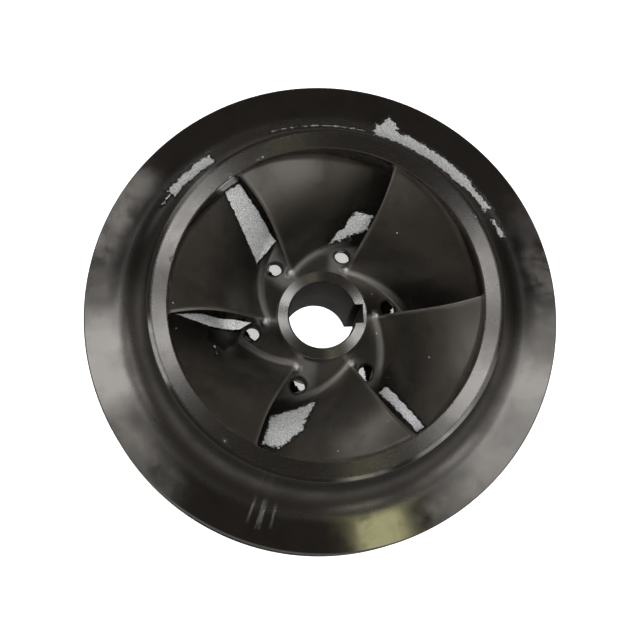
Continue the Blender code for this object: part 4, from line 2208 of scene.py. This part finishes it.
# Painted reflections of a lamp, as thin streaks on the cone.
SHROUD_GLINT_STREAKS = (
    Streak(247.2, 0.0012, 0.0815, 0.0915),
    Streak(250.2, 0.0022, 0.0815, 0.0930),
    Streak(253.4, 0.0012, 0.0820, 0.0910),
)
SHROUD_METAL = Metal("shroud_metal", (0.42, 0.41, 0.395), GRIME_AND_SHADE, 0.075, 0.6, 0.0009, 0.000004, 0.35,
                     smudge=0.055, dull=0.20, film=SHROUD_FILM, painted_shade_sectors=SHROUD_PAINTED_SHADE,
                     glint_streaks=SHROUD_GLINT_STREAKS, patches=SHROUD_PATCHES, pallor=0.6)
RING_CHIPS = (
    Speck(124.3, 0.0652, 0.0009), Speck(110.5, 0.0660), Speck(161.6, 0.0651, 0.0009), Speck(27.8, 0.0714),
    Speck(112.4, 0.0657, 0.0005), Speck(231.0, 0.0700, 0.0006), Speck(289.0, 0.0722, 0.0006),
)
RING_EDGE = Metal("ring_edge", (0.50, 0.49, 0.48), GRIME_AND_SHADE, 0.15, 0.9, 0.0009, 0.000001, 0.3)
RING_METAL = Metal("ring_metal", (0.54, 0.53, 0.52), GRIME_AND_SHADE, 0.27, 1.0, 0.0009, 0.000001, 0.3,
                   patches=RING_CHIPS, pallor=0.6, patch_shade=0.0, face=0.0866, flanks=RING_EDGE)
# Painted shade deep in a passage.
DEEP_PASSAGE_SHADE = Patch(((-0.0325, 0.0020), (-0.0470, 0.0030), (-0.0480, -0.0080), (-0.0420, -0.0120),
                   (-0.0360, -0.0075)), 0.0040)
# Painted shade round each balance hole.
HOLE_RIM_SHADE = tuple(Speck(BackShroud.hole_start + 360.0 * k / BackShroud.hole_count, BackShroud.hole_circle,
                    2 * BackShroud.hole_radius, 0.25) for k in range(BackShroud.hole_count))
DISC_METAL = Metal("disc_metal", WATERWAY, GRIME_AND_SHADE, 0.38, 0.0, 0.001, 0.00004, 0.4, Marks.POLISHED,
                   painted_bore_shade=0.0178, patches=PASSAGE_PATCHES, painted_shade_spots=(*HOLE_RIM_SHADE, DEEP_PASSAGE_SHADE), grit=0.7)
VANE_METAL = Metal("vane_metal", WATERWAY, GRIME_AND_SHADE, 0.37, 0.0, 0.001, 0.00004, 0.4, Marks.POLISHED,
                   worn=0.9, foot_sheen_dull=0.72, patches=PASSAGE_PATCHES, painted_shade_spots=(DEEP_PASSAGE_SHADE,), grit=0.7)
BOSS_METAL = replace(DISC_METAL, name="boss_metal", patches=(), painted_shade_spots=())
HUB_METAL = Metal("hub_metal", (0.70, 0.69, 0.67), GRIME_AND_SHADE, 0.27, 1.0, 0.0009, 0.000001, 0.25,
                  face=Hub.nose_top, flanks=BOSS_METAL)
# Painted shade: the dark lumps stand in for the shade inside the balance holes.
HOLE_SHADE_METAL = Metal("hole_shade_lumps", (0.030, 0.027, 0.023), (0.05, 0.045, 0.04), 0.75, 0.0, 0.001, 0.0002, 0.5,
             Marks.CAST)


def front_ring(passage: Passage, shroud: FrontShroud) -> WearRing:
    """Lay out the front wear ring on the front shroud's spigot.

    Args:
        passage: The water passage, for the width of the eye.
        shroud: The front shroud.

    Returns:
        The ring.
    """
    top, radius, gap, chamfer, drop = 0.0865, 0.0732, 0.0003, 0.0018, 0.0008
    line, line_depth, lip = 0.0003, 0.00012, 0.0005
    section: list[Corner] = [
        (passage.eye + lip, top, 0.0),
        (radius - chamfer - line, top, 0.0),
        (radius - chamfer - line / 2, top - line_depth, 0.0),
        (radius - chamfer, top, 0.0),
        (radius, top - drop, 0.0002),
        (radius, shroud.seat + gap, 0.0002),
        (shroud.spigot + gap, shroud.seat + gap, 0.0),
        (shroud.spigot + gap, shroud.spigot_top + gap, 0.0),
        (passage.eye, shroud.spigot_top + gap, 0.0),
        (passage.eye, top - lip, 0.0),
    ]
    return WearRing("front_wear_ring_turned", "front_wear_ring", section)


def back_ring(back: BackShroud) -> WearRing:
    """Lay out the back wear ring on the back shroud's spigot.

    Args:
        back: The back shroud.

    Returns:
        The ring.
    """
    gap, radius, length = 0.0003, 0.0605, 0.0125
    top = back.back(radius) - gap
    inner = back.seat_radius + gap
    section: list[Corner] = [
        (inner, top, 0.0002),
        (radius, top, 0.0003),
        (radius, top - length, 0.0006),
        (inner, top - length, 0.0006),
    ]
    return WearRing("back_wear_ring_turned", "back_wear_ring", section)


def main() -> None:
    """Build the impeller's pieces in order, then the studio."""
    logging.basicConfig(level=logging.INFO, format="%(name)s %(message)s")
    passage = Passage()
    shroud = FrontShroud(passage)
    back = BackShroud(passage)
    ring_metal = RING_METAL.build()
    shroud.dress(SHROUD_METAL.build())
    front_ring(passage, shroud).dress(ring_metal)
    back.dress(DISC_METAL.build())
    HoleShadeLumps(back).dress(HOLE_SHADE_METAL.build())
    back_ring(back).dress(ring_metal)
    Hub(passage).dress(HUB_METAL.build())
    VaneRow(passage).dress(VANE_METAL.build())
    Studio().build()


if __name__ == "__main__":
    main()
